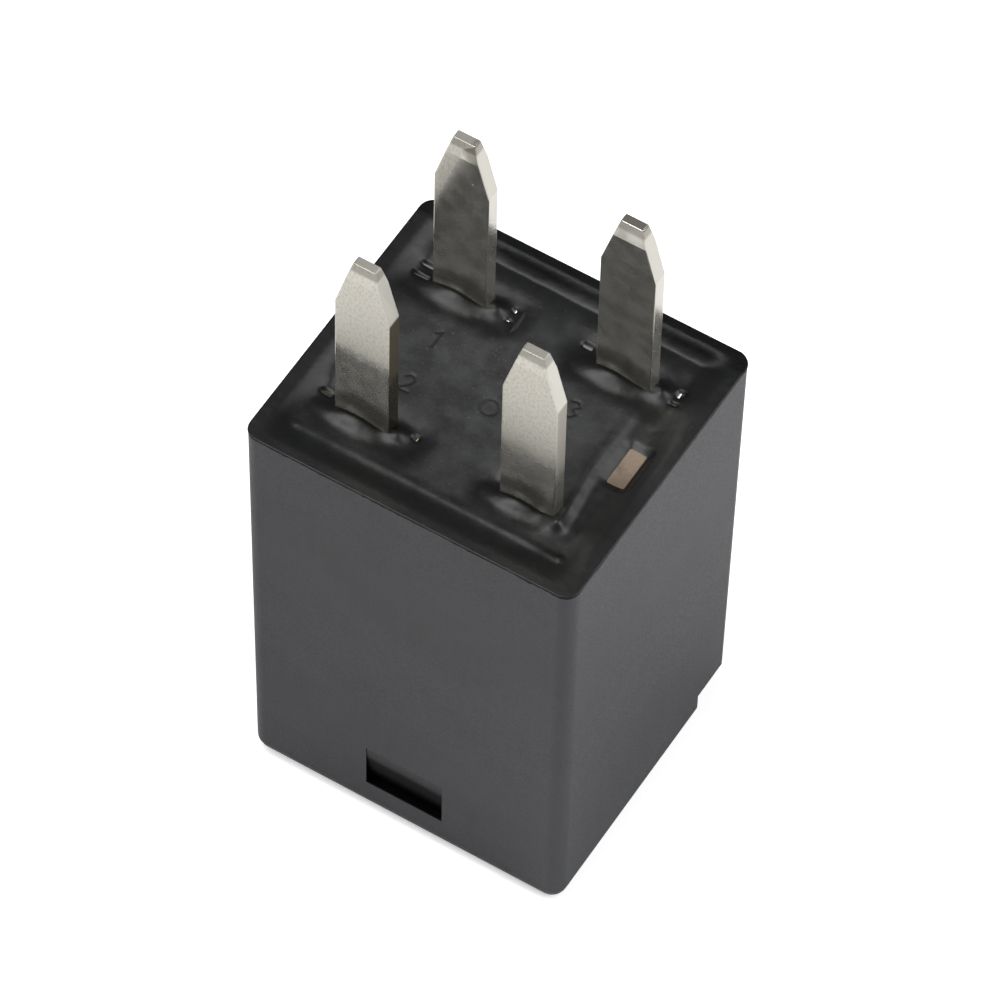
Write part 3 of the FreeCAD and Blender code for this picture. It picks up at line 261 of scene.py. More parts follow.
@dataclass(frozen=True)
class Potting:
    """Black two-part epoxy, poured: glossy where it ran deep and dull with dust on the plateau.

    The film's mesh carries the share of dust. Below zero it stands for the matt skin where the
    film ran out, and on the lap over the rim's edge its lost shine is painted shade of a gap between
    potting and cover. Sizes are millimetres, and the lint is drawn coarser than it is, so that it shows.
    """

    name: str = "poured black epoxy"
    deep: str = "#050606"
    dusty: str = "#343535"
    lint: str = "#565856"
    gloss: float = 0.33
    dull: float = 0.6
    cloud: float = 1.1
    fibre: float = 0.13
    haze: float = 0.6
    pimple: float = 0.22
    ripple: float = 0.9
    relief: float = 0.03
    matt: float = -0.9
    shine: float = 0.5

    def material(self) -> bpy.types.Material:
        """Builds the material."""
        surface = Surface(self.name)
        dust = add(surface.tree, "Attribute", attribute_name="dust").outputs["Fac"]
        # Where the dust is below zero the shine is taken away; on the lap over the rim's edge this is
        # painted shade of a gap between potting and cover.
        shine_outside_matt_and_gap_shade = surface.ranged(dust, self.matt, 0, 0, 1)
        clouds = surface.ranged(surface.grain(self.cloud, 5), 0.34, 0.66, 0, 1)
        settled = surface.calculated("MULTIPLY", dust, surface.calculated("MULTIPLY_ADD", clouds, 0.6, 0.4))
        specks = surface.ranged(surface.grain(self.fibre, 2), 0.62, 0.74, 0, 0.45)
        sparse = surface.calculated("MULTIPLY", specks, surface.calculated("MULTIPLY_ADD", dust, 0.85, 0.1))
        film = surface.mixed(settled, colour(self.deep), colour(self.dusty))
        base = surface.mixed(sparse, film, colour(self.lint))
        rough = surface.ranged(dust, 0, 1, self.gloss, self.dull)
        uneven = surface.calculated("MULTIPLY_ADD", surface.grain(self.haze, 3), 0.12, rough)
        pimples = surface.calculated("MULTIPLY", surface.grain(self.pimple, 3), dust)
        ripples = surface.raised(surface.grain(self.ripple, 2), self.relief)
        surface.set(
            base_color=base,
            roughness=uneven,
            ior=1.42,
            specular_ior_level=surface.calculated("MULTIPLY", shine_outside_matt_and_gap_shade, self.shine),
            normal=surface.raised(pimples, self.relief, ripples),
        )
        return surface.material


@dataclass(frozen=True)
class TinnedBrass:
    """Brass strip with matt tin plating, blanked by a die.

    The faces are rolled smooth and carry fine pale specks. Above the reflection height they carry
    a painted reflection of the white room: pale, rougher and less metallic, and leaning turns that
    border into a slant across the blade. The blanked edges have torn grain across the strip. Sizes
    and heights are millimetres, and the specks and scratches are drawn coarser than they are, so that they
    show.
    """

    name: str
    reflection_height: float
    blur: float = 0.5
    leaning: float = 0.0
    side: str = "#dcd9d0"
    shoulder: float = 32.3
    tip: float = 34.9
    foot: float = 24.35
    plated: str = "#e2dfd6"
    coined: str = "#d6d3ca"
    reflection_and_speck_tone: str = "#dedacf"
    stain: str = "#5d5a4e"
    smoothness: float = 0.2
    ragged: float = 0.25
    speck: float = 0.2
    cloud: float = 0.8
    scratch: float = 0.12
    tear: float = 0.1
    tear_depth: float = 0.012
    wave: float = 0.5
    wave_depth: float = 0.001
    step: float = 0.1
    stained: float = 0.25

    def material(self) -> bpy.types.Material:
        """Builds the material."""
        surface = Surface(self.name)
        spot = add(surface.tree, "SeparateXYZ", {0: surface.place})
        height = spot.outputs["Z"]
        facing = add(surface.tree, "SeparateXYZ", {0: surface.texture.outputs["Normal"]}).outputs["Y"]
        sheared = surface.ranged(surface.calculated("ABSOLUTE", facing), 0.5, 0.9, 1, 0)
        shaken = surface.calculated("MULTIPLY_ADD", surface.grain(self.ragged, 5), MM, height)
        tilted = surface.calculated("MULTIPLY_ADD", spot.outputs["X"], self.leaning, shaken)
        lowered = surface.calculated("MULTIPLY_ADD", sheared, MM, tilted)
        # The ragged noise lifts a place by half a millimetre on average.
        middle = self.reflection_height + 0.5
        # Painted reflection: above this height the blade is painted pale, standing for the white room that
        # it mirrors.
        painted_reflection = surface.ranged(lowered, (middle - self.blur) * MM, (middle + self.blur) * MM, 0, 1)
        dots = surface.ranged(surface.grain(self.speck, 2), 0.7, 0.78, 0, 0.7)
        reflection_and_specks = surface.calculated("MAXIMUM", painted_reflection, dots)
        clouds = surface.ranged(surface.grain(self.cloud, 5), 0.36, 0.66, 0, 0.3)
        face = surface.mixed(clouds, colour(self.plated), colour(self.stain))
        lines = surface.grain(self.scratch, 5, surface.stretched(1, 1, 0.6))
        reflection_and_speck_tone = surface.mixed(
            surface.ranged(lines, 0.42, 0.7, 0, 0.24), colour(self.reflection_and_speck_tone), colour(self.stain)
        )
        specks_and_reflection = surface.mixed(reflection_and_specks, face, reflection_and_speck_tone)
        low = surface.ranged(
            height, (self.shoulder - self.step) * MM, (self.shoulder + self.step) * MM, 1, 0
        )
        edge = surface.mixed(low, colour(self.coined), colour(self.side))
        sides = surface.mixed(sheared, specks_and_reflection, edge)
        ends = surface.calculated(
            "ADD",
            surface.ranged(height, (self.tip - self.step) * MM, (self.tip + self.step) * MM, 0, 0.5),
            surface.ranged(height, self.foot * MM, (self.foot + self.stained) * MM, 0.15, 0),
        )
        base = surface.mixed(ends, sides, colour(self.stain))
        tears = surface.grain(self.tear, 3, surface.stretched(1, 0.25, 1))
        surface.set(
            base_color=base,
            metallic=surface.ranged(reflection_and_specks, 0, 1, 0.88, 0.66),
            roughness=surface.calculated("MULTIPLY_ADD", reflection_and_specks, 0.18, self.smoothness),
            normal=surface.raised(
                surface.calculated("MULTIPLY", tears, sheared),
                self.tear_depth,
                surface.raised(surface.grain(self.wave, 2), self.wave_depth),
            ),
        )
        return surface.material


@dataclass(frozen=True)
class BareMetal:
    """Rolled, drawn or turned metal with the fine lines of its working.

    The lines are finer on the real metal and are drawn as coarse as they need to show. Sizes are
    millimetres.
    """

    name: str
    bright: str
    dull: str
    roughness: float = 0.34
    line: float = 0.12
    lay: tuple[float, float, float] = (1, 1, 0.15)
    relief: float = 0.004
    cloud: float = 1.2
    spread: float = 0.16

    def material(self) -> bpy.types.Material:
        """Builds the material."""
        surface = Surface(self.name)
        lines = surface.grain(self.line, 3, surface.stretched(*self.lay))
        cloud = surface.ranged(surface.grain(self.cloud, 4), 0.35, 0.65, 0, 1)
        smoothest = self.roughness - self.spread / 2
        rough = surface.calculated("MULTIPLY_ADD", lines, self.spread, smoothest)
        surface.set(
            base_color=surface.mixed(cloud, colour(self.bright), colour(self.dull)),
            metallic=1.0,
            roughness=rough,
            normal=surface.raised(lines, self.relief),
        )
        return surface.material


class Finish(Enum):
    """The finishes of the relay's pieces, each named for what the real one is.

    The rear left blade's painted reflection begins at a height counted on its slant, and the rear
    right blade's lies above its tip, so it has no painted reflection.
    """

    COVER = MouldedPlastic(
        "satin glass-filled polyester", "#191a1f", "#222329", slot=(2.03, 2.08, 4.92, -7.55)
    )
    BASE = MouldedPlastic("black glass-filled polyester", "#1b1c1c", "#262727", roughness=0.4)
    NYLON = MouldedPlastic("natural nylon", "#d8d2bd", "#c9c1a6", roughness=0.4)
    POTTING = Potting()
    # The front left blade's dark side colour is painted shade: its blanked edges are darkened as the black
    # potting mirrored in them would darken them.
    TERMINAL_85 = TinnedBrass("matt tinned brass, front left", 29.2, blur=0.6, side="#6f6858")
    TERMINAL_86 = TinnedBrass("matt tinned brass, front right", 28.3, blur=1.3, side="#b8b4aa")
    TERMINAL_30 = TinnedBrass("matt tinned brass, rear left", 50.3, blur=0.9, leaning=-3.4)
    TERMINAL_87 = TinnedBrass("matt tinned brass, rear right", 40.0)
    STOP = BareMetal(
        "sheared copper alloy", "#8e8072", "#776a5c", 0.5, line=0.14, lay=(1, 0.3, 1), relief=0.02
    )
    SPRING = BareMetal("rolled beryllium copper", "#c98d62", "#b57a52")
    STEEL = BareMetal("zinc-plated soft iron", "#b9b8b0", "#9b9a92")
    RIVET = BareMetal("headed steel wire", "#aeada6", "#8f8e88", 0.3, line=0.2)
    SILVER = BareMetal("silver nickel", "#dcdbd4", "#c4c2ba", 0.28, line=0.2)
    ENAMEL = BareMetal("enamelled copper wire", "#a5562b", "#8c431f", 0.24, line=0.3)
    TINNED = BareMetal("tinned copper wire", "#bdbcb5", "#a3a29b", 0.3, line=0.2)
    SOLDER = BareMetal("tin solder", "#b5b5b1", "#8e8e8b", 0.36, line=0.3)
    LACQUER = MouldedPlastic("lacquered resistor ceramic", "#46697d", "#3c5b6d", roughness=0.35)

    def on(self, piece: bpy.types.Object) -> None:
        """Gives the finish to a piece as its only material.

        Args:
            piece: The piece or solid.
        """
        if self.name not in SHARED:
            SHARED[self.name] = self.value.material()
        piece.data.materials.clear()
        piece.data.materials.append(SHARED[self.name])


SHARED: dict[str, bpy.types.Material] = {}


def smooth(edge: float, value: np.ndarray) -> np.ndarray:
    """Rises softly from 0 at minus edge to 1 at plus edge."""
    share = np.clip((value + edge) / (2 * edge), 0, 1)
    return share * share * (3 - 2 * share)


def between(start: float, end: float, share: np.ndarray) -> np.ndarray:
    """Goes from start to end as the share goes from 0 to 1."""
    return start + (end - start) * share


def finished(
    name: str, mesh: bmesh.types.BMesh, finish: Finish, body: str, *nodes: str
) -> bpy.types.Object:
    """Turns a bmesh in millimetres into a piece of the relay.

    Args:
        name: The piece's name.
        mesh: Its shape, which is freed.
        finish: Its finish.
        body: The body that it rides on, or nothing if it is blended.
        nodes: The solids that it stands for.

    Returns:
        The piece, with its place in its mesh.
    """
    bmesh.ops.scale(mesh, vec=(MM, MM, MM), verts=mesh.verts)
    data = bpy.data.meshes.new(name)
    mesh.to_mesh(data)
    mesh.free()
    for face in data.polygons:
        face.use_smooth = True
    piece = bpy.data.objects.new(name, data)
    bpy.context.scene.collection.objects.link(piece)
    finish.on(piece)
    if nodes:
        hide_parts(*nodes)
    if body:
        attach(piece, body)
    log.info("%s: %d faces", name, len(data.polygons))
    return piece


@dataclass(frozen=True)
class Oblong:
    """A soft-edged oblong on the potting, in millimetres."""

    left: float
    front: float
    right: float
    rear: float
    soft: float = 0.4
    corner: float = 0.5

    def cover(self, x: np.ndarray, y: np.ndarray) -> np.ndarray:
        """Works out how much of each place the oblong covers.

        Args:
            x: Places along X, in millimetres.
            y: Places along Y, in millimetres.

        Returns:
            1 inside the oblong, 0 outside and a soft step between.
        """
        half_x, half_y = (self.right - self.left) / 2, (self.rear - self.front) / 2
        corner = min(self.corner, half_x, half_y)
        over_x = np.abs(x - self.left - half_x) - half_x + corner
        over_y = np.abs(y - self.front - half_y) - half_y + corner
        outside = np.hypot(np.maximum(over_x, 0), np.maximum(over_y, 0))
        inside = np.minimum(np.maximum(over_x, over_y), 0)
        return smooth(self.soft, corner - outside - inside)


@dataclass(frozen=True)
class Swell:
    """A soft ridge, mound or groove that follows a line on the potting.

    Each point of the line has its place and the share of the rise that the swell has there.
    """

    points: tuple[tuple[float, float, float], ...]
    rise: float
    width: float

    def height(self, x: np.ndarray, y: np.ndarray) -> np.ndarray:
        """Works out how high the swell is at each place.

        Args:
            x: Places along X, in millimetres.
            y: Places along Y, in millimetres.

        Returns:
            Its height in millimetres, which is negative for a groove.
        """
        best = np.zeros_like(x)
        for (ax, ay, a), (bx, by, b) in zip(self.points, self.points[1:] or self.points):
            run = max((bx - ax) ** 2 + (by - ay) ** 2, 1e-9)
            along = np.clip(((x - ax) * (bx - ax) + (y - ay) * (by - ay)) / run, 0, 1)
            away = np.hypot(x - ax - along * (bx - ax), y - ay - along * (by - ay))
            share = (a + (b - a) * along) * np.exp(-(away / self.width) ** 2)
            best = np.where(np.abs(share) > np.abs(best), share, best)
        return best * self.rise


# The strokes of the plain digits, as points of a unit square about its middle.
STROKES: dict[int, tuple[tuple[float, float], ...]] = {
    1: ((-0.12, 0.3), (0.05, 0.48), (0.05, -0.48)),
    2: (
        (-0.25, 0.3), (-0.1, 0.47), (0.14, 0.45), (0.25, 0.24),
        (0.14, 0.0), (-0.27, -0.47), (0.27, -0.47),
    ),
    3: (
        (-0.24, 0.4), (0.05, 0.48), (0.24, 0.25), (0.0, 0.03),
        (0.26, -0.22), (0.05, -0.48), (-0.26, -0.38),
    ),
    4: ((0.14, -0.48), (0.14, 0.48), (-0.27, -0.14), (0.3, -0.14)),
}


@dataclass(frozen=True)
class Mound:
    """A hill with an oval foot on the potting, in millimetres, turned by some degrees."""

    x: float
    y: float
    half_x: float
    half_y: float
    rise: float
    turn: float = 0.0

    def height(self, x: np.ndarray, y: np.ndarray) -> np.ndarray:
        """Works out how high the hill is at each place.

        Args:
            x: Places along X, in millimetres.
            y: Places along Y, in millimetres.

        Returns:
            Its height in the unit of its rise.
        """
        cosine, sine = math.cos(math.radians(self.turn)), math.sin(math.radians(self.turn))
        along = ((x - self.x) * cosine + (y - self.y) * sine) / self.half_x
        across = ((y - self.y) * cosine - (x - self.x) * sine) / self.half_y
        return self.rise * np.exp(-along ** 2 - across ** 2)


@dataclass(frozen=True)
class Wave:
    """Smooth noise over the potting.

    It has its rise in millimetres, how many features lie in a millimetre, and its seed.
    """

    rise: float
    pace: float
    seed: float

    def at(self, x: float, y: float) -> float:
        """Gives the noise at a place, about minus one to one."""
        return noise.noise(Vector((x * self.pace, y * self.pace, self.seed)))


@dataclass
class PottedTop:
    """The black potting, as it set: rim film, moat, ridges, plateau, pockets and mounds.

    Heights are millimetres above the rim. Where a blade's foot or the strip's end is bare, the
    potting is sunk below it. The fall is how wide the film's slope to the moat is on the left,
    right, front and rear. The skirt steps out over the rim's edge and back inside the wall, ring
    by ring, down to the foot, and its lap over the edge has a long wave and a short one.
    """

    half_width: float = 8.43
    half_depth: float = 7.7
    corner: float = 0.75
    rim: float = 24.9
    cell: float = 0.055
    film: float = 0.02
    land: float = 0.4
    fall: tuple[float, float, float, float] = (1.35, 1.6, 1.8, 0.95)
    moat: float = -0.46
    plateau: float = -0.34
    pocket: float = -0.58
    sunk: float = -0.65
    foot: float = 23.3
    digit_height: float = 0.95
    press: float = 0.045
    numbers: tuple[tuple[int, float, float], ...] = (
        (1, -4.1, 1.4), (2, -3.9, -1.3), (3, 3.0, 1.35), (4, 2.2, -1.2),
    )
    ring: tuple[float, float, float] = (-0.13, -0.5, 0.42)
    plateaux: tuple[Oblong, ...] = (
        Oblong(-6.9, -6.1, 5.65, 5.9, 0.6, corner=0.8),
    )
    pockets: tuple[Oblong, ...] = (
        Oblong(-7.0, -5.0, -1.3, -2.7, 0.75, corner=1.0),
        Oblong(1.5, -5.0, 5.0, -3.2, 0.6, corner=0.8),
        Oblong(-7.0, 3.0, -1.2, 5.3, 0.75, corner=1.0),
        Oblong(1.0, 3.0, 6.8, 5.3, 0.75, corner=1.0),
    )
    bare: tuple[Oblong, ...] = (
        Oblong(-6.95, -3.7, -6.35, -3.44, 0.12, corner=0.12),
        Oblong(-2.22, -3.68, -1.87, -3.42, 0.12, corner=0.12),
        Oblong(-6.95, 3.96, -6.1, 4.12, 0.12, corner=0.1),
        Oblong(-6.9, 4.64, -6.15, 4.82, 0.12, corner=0.1),
        Oblong(-2.12, 4.0, -1.87, 4.12, 0.1, corner=0.1),
        Oblong(-2.12, 4.56, -1.87, 4.78, 0.1, corner=0.1),
        Oblong(1.45, 4.58, 2.0, 4.84, 0.12, corner=0.12),
        Oblong(6.35, 4.42, 6.75, 4.82, 0.12, corner=0.12),
        Oblong(6.35, 3.96, 6.7, 4.07, 0.1, corner=0.05),
        Oblong(6.0, -1.2, 7.2, 1.2, 0.3, corner=0.25),
    )
    swells: tuple[Swell, ...] = (
        Swell(((-6.75, -5.8, 1.1), (-6.3, -5.8, 0.6), (-1.5, -5.8, 0.7), (6.6, -5.82, 1.0)), 0.1, 0.24),
        Swell(((6.65, -5.82, 1.0),), 0.07, 0.22),
        Swell(((5.3, 2.6, 0.4), (5.36, 1.0, 0.8), (5.34, -0.9, 0.9), (5.52, -2.2, 1.1),
               (5.68, -3.4, 1.1), (5.74, -4.3, 1.0)), 0.2, 0.3),
    )
    mounds: tuple[Mound, ...] = (
        Mound(-4.95, -4.3, 1.45, 0.55, 0.42, 3),
        Mound(3.5, -4.3, 1.4, 0.52, 0.42, 3),
        Mound(-4.75, 3.82, 1.45, 0.55, 0.42, 3),
        Mound(3.3, 3.78, 1.4, 0.55, 0.42, 3),
        Mound(5.6, -4.4, 0.52, 0.46, 0.18),
        Mound(-2.82, -3.84, 0.46, 0.42, 0.26),
        Mound(-2.72, 4.28, 0.46, 0.42, 0.26),
        Mound(5.78, 4.28, 0.46, 0.42, 0.26),
    )
    matt_fall: tuple[float, float] = (2.2, 2.6)
    matt_depth: float = 0.45
    stroke: float = 0.085
    ring_stroke: float = 0.1
    ring_share: float = -0.8
    ring_steps: int = 16
    wiped: float = 0.8
    haze: float = 0.1
    settled: float = 0.85
    middle: Mound = Mound(-0.6, 0.0, 5.5, 4.2, 1.0)
    away: float = 0.25
    blown: Mound = Mound(7.4, 2.6, 1.2, 2.2, 0.3)
    pocket_dust: float = 0.05
    rim_dust: float = 0.6
    waves: tuple[Wave, ...] = (Wave(0.035, 0.55, 3.1), Wave(0.014, 1.9, 7.7))
    skirt: tuple[float, float, float] = (0.02, -0.35, 0.0)
    matt_and_gap_shade: float = -1.0
    least_lap: float = 0.06
    long_lap: Wave = Wave(0.07, 0.8, 11.0)
    short_lap: Wave = Wave(0.1, 4.2, 5.0)
    lifted: float = 0.2

    def heights(self, x: np.ndarray, y: np.ndarray) -> tuple[np.ndarray, np.ndarray]:
        """Works out the surface.

        Args:
            x: Places along X, in millimetres.
            y: Places along Y, in millimetres.

        Returns:
            The height above the rim in millimetres, and the share of dust, which is below zero
            on the matt fall at the rear.
        """
        low = np.ones_like(x)
        for patch in self.plateaux:
            low *= 1 - patch.cover(x, y)
        deep = np.ones_like(x)
        for patch in self.pockets:
            deep *= 1 - patch.cover(x, y)
        height = self.plateau + (self.moat - self.plateau) * low
        height = self.pocket + (height - self.pocket) * deep
        for shape in (*self.swells, *self.mounds):
            height += shape.height(x, y)
        height += self.uneven(x, y)
        west, east, south, north = self.fall
        share = np.ones_like(x)
        for gap, fall in (
            (self.half_width + x, west),
            (self.half_width - x, east),
            (self.half_depth + y, south),
            (self.half_depth - y, north),
        ):
            share *= smooth(0.5, (gap - self.land) / fall - 0.5)
        height = self.film + (height - self.film) * share
        behind = smooth(0.5, (self.half_depth - y - self.land) / north - 0.5)
        start, slope = self.matt_fall
        matt = np.clip(start - slope * behind, 0, 1)
        for patch in self.bare:
            height += patch.cover(x, y) * np.minimum(self.sunk - height, 0)
        pressed = sum(mark.height(x, y) for mark in self.marks())
        dust = self.dust(x, y, low, deep, share) * (1 - matt) - self.matt_depth * matt
        wiped = np.clip(pressed / self.press, -1, 0) * self.wiped
        return height + pressed, dust * (1 + wiped)

    def marks(self) -> list[Swell]:
        """Gives the plain numbers and the pin's ring that the mould pressed in the plateau."""
        pressed = []
        size = self.digit_height
        for digit, x, y in self.numbers:
            line = [(x + a * size, y + b * size, -1.0) for a, b in STROKES[digit]]
            pressed.append(Swell(tuple(line), self.press, self.stroke))
        turns = [math.tau * step / self.ring_steps for step in range(self.ring_steps + 1)]
        x, y, radius = self.ring
        line = [
            (x + radius * math.cos(turn), y + radius * math.sin(turn), self.ring_share)
            for turn in turns
        ]
        return [*pressed, Swell(tuple(line), self.press, self.ring_stroke)]

    def dust(
        self, x: np.ndarray, y: np.ndarray, low: np.ndarray, deep: np.ndarray, share: np.ndarray
    ) -> np.ndarray:
        """Works out how dusty and dull the potting is: most on the plateau, least in the pockets.

        Args:
            x: Places along X, in millimetres.
            y: Places along Y, in millimetres.
            low: 0 on the plateau and 1 off it.
            deep: 0 in a pocket and 1 off it.
            share: 0 on the rim and 1 past the film's slope.

        Returns:
            The share of dust.
        """
        lying = self.settled * (1 - low) * between(self.away, 1, self.middle.height(x, y))
        dull = self.haze + lying + self.blown.height(x, y)
        in_pockets = between(self.pocket_dust, 1, deep ** 2)
        return np.clip(dull * in_pockets * between(self.rim_dust, 1, share), 0, 1)

    def uneven(self, x: np.ndarray, y: np.ndarray) -> np.ndarray:
        """Works out the potting's small unevenness.

        Args:
            x: Places along X, in millimetres.
            y: Places along Y, in millimetres.

        Returns:
            Its height at each place, in millimetres.
        """
        places = zip(x.flat, y.flat)
        bumps = [sum(wave.rise * wave.at(a, b) for wave in self.waves) for a, b in places]
        return np.array(bumps).reshape(x.shape)

    def build(self) -> bpy.types.Object:
        """Builds the film over the whole open end, closed underneath."""
        mesh = bmesh.new()
        bmesh.ops.create_grid(
            mesh,
            x_segments=round(2 * self.half_width / self.cell),
            y_segments=round(2 * self.half_depth / self.cell),
            size=1,
        )
        for vertex in mesh.verts:
            vertex.co = self.rounded(vertex.co.x, vertex.co.y)
        places = np.array([vertex.co for vertex in mesh.verts])
        height, dust = self.heights(places[:, 0], places[:, 1])
        layer = mesh.verts.layers.float.new("dust")
        for vertex, rise, share in zip(mesh.verts, height, dust):
            vertex.co.z = self.rim + rise
            vertex[layer] = share
        self.close(mesh, layer)
        bmesh.ops.recalc_face_normals(mesh, faces=mesh.faces)
        return finished("potting", mesh, Finish.POTTING, BODY, "sealant")

    def rounded(self, u: float, v: float) -> Vector:
        """Places a point of the unit square in the outline with its round corners.

        Args:
            u: From minus one at the left to one at the right.
            v: From minus one at the front to one at the rear.

        Returns:
            Its place, in millimetres.
        """
        flat = Vector((self.half_width - self.corner, self.half_depth - self.corner))
        x, y = u * self.half_width, v * self.half_depth
        a, b = (abs(x) - flat.x) / self.corner, (abs(y) - flat.y) / self.corner
        if a > 0 and b > 0:
            x = math.copysign(flat.x + self.corner * a * math.sqrt(1 - b * b / 2), x)
            y = math.copysign(flat.y + self.corner * b * math.sqrt(1 - a * a / 2), y)
        return Vector((x, y, 0))

    def close(self, mesh: bmesh.types.BMesh, layer: bmesh.types.BMLayerItem) -> None:
        """Lets the film lap raggedly over the rim's edge, then closes it inside the wall.

        Args:
            mesh: The film's upper side.
            layer: Its dust, which is minus one on the skirt, where the lap's lost shine is painted shade of
                a gap at the rim.
        """
        for ring, outward in enumerate(self.skirt):
            edge = [side for side in mesh.edges if side.is_boundary]
            grown = bmesh.ops.extrude_edge_only(mesh, edges=edge)["geom"]
            for vertex in (part for part in grown if isinstance(part, bmesh.types.BMVert)):
                vertex.co.xy *= 1 + outward / self.half_width
                # Painted shade: the lap gets no shine, so it reads as the shadow of a gap at the rim.
                vertex[layer] = self.matt_and_gap_shade
                if ring == 0:
                    vertex.co.z -= self.lap(vertex.co)
                elif ring == 2:
                    vertex.co.z = self.foot
        bmesh.ops.holes_fill(mesh, edges=[side for side in mesh.edges if side.is_boundary], sides=0)

    def lap(self, place: Vector) -> float:
        """Works out how far the film laps down over the rim's outer edge.

        Args:
            place: A place on the edge, in millimetres.

        Returns:
            The lap, in millimetres.
        """
        long = self.long_lap.rise * max(0.0, self.long_lap.at(place.x, place.y) + self.lifted)
        short = self.short_lap.rise * max(0.0, self.short_lap.at(place.x, place.y))
        return self.least_lap + long + short


@dataclass
class CoilTurns:
    """The winding: turns of enamelled wire between the bobbin's flanges.

    A turn's bulge goes by how far it draws in and how far up the turn, as shares of the pitch.
    """

    wire: float = 0.2
    depth: float = 0.83
    sides: int = 40
    bulge: tuple[tuple[float, float], ...] = ((0.3, 0.0), (0.05, 0.22), (0.0, 0.5), (0.05, 0.78))
    weld: float = 0.001

    def build(self) -> bpy.types.Object:
        """Builds the winding as a scalloped drum."""
        low, high = (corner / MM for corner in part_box("coil_winding"))
        axis = (low + high) / 2
        radius = (high.x - low.x) / 2
        inner = radius - self.depth
        turns = round((high.z - low.z) / self.wire)
        pitch = (high.z - low.z) / turns
        mesh = bmesh.new()
        profile = [Vector((inner, 0, low.z))]
        for turn in range(turns):
            start = low.z + turn * pitch
            for inset, rise in self.bulge:
                profile.append(Vector((radius - pitch * inset, 0, start + pitch * rise)))
        profile.append(Vector((radius - pitch * self.bulge[0][0], 0, high.z)))
        profile.append(Vector((inner, 0, high.z)))
        corners = [mesh.verts.new(spot + Vector((axis.x, 0, 0))) for spot in profile]
        sides = [mesh.edges.new(pair) for pair in zip(corners, corners[1:] + corners[:1])]
        bmesh.ops.spin(
            mesh,
            geom=corners + sides,
            cent=(axis.x, 0, 0),
            axis=(0, 0, 1),
            angle=math.tau,
            steps=self.sides,
            use_merge=True,
        )
        bmesh.ops.remove_doubles(mesh, verts=mesh.verts, dist=self.weld)
        bmesh.ops.recalc_face_normals(mesh, faces=mesh.faces)
        return finished("coil_turns", mesh, Finish.ENAMEL, BODY, "coil_winding")


@dataclass
class BowedSpring:
    """The contact spring, which bends at its knee when the armature moves; here its solid is only copied,
    unbent.
    """

    knee_top: float = 7.2
    knee_low: float = 5.4
    weld: float = 0.0005

    def build(self) -> bpy.types.Object:
        """Copies the spring's solid."""
        mesh = bmesh.new()
        mesh.from_mesh(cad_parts["contact_spring"].data)
        bmesh.ops.scale(mesh, vec=(1 / MM, 1 / MM, 1 / MM), verts=mesh.verts)
        bmesh.ops.remove_doubles(mesh, verts=mesh.verts, dist=self.weld)
        piece = finished("spring_leaf", mesh, Finish.SPRING, "", "contact_spring")
        for face in piece.data.polygons:
            face.use_smooth = False
        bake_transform(piece)
        return piece


DRESSED: dict[str, Finish] = {
    "cover": Finish.COVER,
    "base": Finish.BASE,
    "terminal_85": Finish.TERMINAL_85,
    "terminal_86": Finish.TERMINAL_86,
    "terminal_30": Finish.TERMINAL_30,
    "terminal_87": Finish.TERMINAL_87,
    "stop_strip": Finish.STOP,
    "bobbin": Finish.NYLON,
    "coil_lead_start": Finish.ENAMEL,
    "coil_lead_end": Finish.ENAMEL,
    "core": Finish.STEEL,
    "yoke": Finish.STEEL,
    "armature": Finish.STEEL,
    "moving_contact": Finish.SILVER,
    "fixed_contact": Finish.SILVER,
    "yoke_rivets": Finish.RIVET,
    "armature_rivets": Finish.RIVET,
    "resistor": Finish.LACQUER,
    "resistor_leads": Finish.TINNED,
    "solder_joints": Finish.SOLDER,
}
BLANKED = ("terminal_85", "terminal_86", "terminal_30", "terminal_87")


def dress(finishes: dict[str, Finish]) -> None:
    """Gives every solid that stays its own finish.

    Args:
        finishes: The finish of each solid.
    """
    for node, finish in finishes.items():
        finish.on(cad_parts[node])
        log.info("%s: %s", node, finish.value.name)


@dataclass(frozen=True)
class EasedEdges:
    """Sharp edges rounded a little, as a die or a worn tool leaves them, in millimetres."""

    width: float = 0.06
    segments: int = 2
    sharp: float = 25.0
    weld: float = 0.001

    def on(self, node: str) -> None:
        """Rounds a solid's sharp edges.

        Args:
            node: The solid.
        """
        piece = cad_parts[node]
        weld = piece.modifiers.new("weld", "WELD")
        weld.merge_threshold = self.weld * MM
        bevel = piece.modifiers.new("eased", "BEVEL")
        bevel.width = self.width * MM
        bevel.segments = self.segments
        bevel.limit_method = "ANGLE"
        bevel.angle_limit = math.radians(self.sharp)


def direction(azimuth: float, elevation: float) -> Vector:
    """Points away from the relay.

    Args:
        azimuth: Degrees round from the front towards the contact side.
        elevation: Degrees up from the table.

    Returns:
        A vector of length one.
    """
    around, up = math.radians(azimuth), math.radians(elevation)
    return Vector((math.sin(around) * math.cos(up), -math.cos(around) * math.cos(up), math.sin(up)))


@dataclass(frozen=True)
class SoftLight:
    """A square soft box that looks at the relay, with its distance and side in metres."""

    name: str
    azimuth: float
    elevation: float
    distance: float
    side: float
    power: float

    def place(self, target: Vector) -> None:
        """Hangs the soft box.

        Args:
            target: What it looks at, in metres.
        """
        lamp = bpy.data.lights.new(self.name, "AREA")
        lamp.size = self.side
        lamp.energy = self.power
        away = direction(self.azimuth, self.elevation)
        box = bpy.data.objects.new(self.name, lamp)
        box.location = target + away * self.distance
        box.rotation_euler = away.to_track_quat("Z", "Y").to_euler()
        bpy.context.scene.collection.objects.link(box)


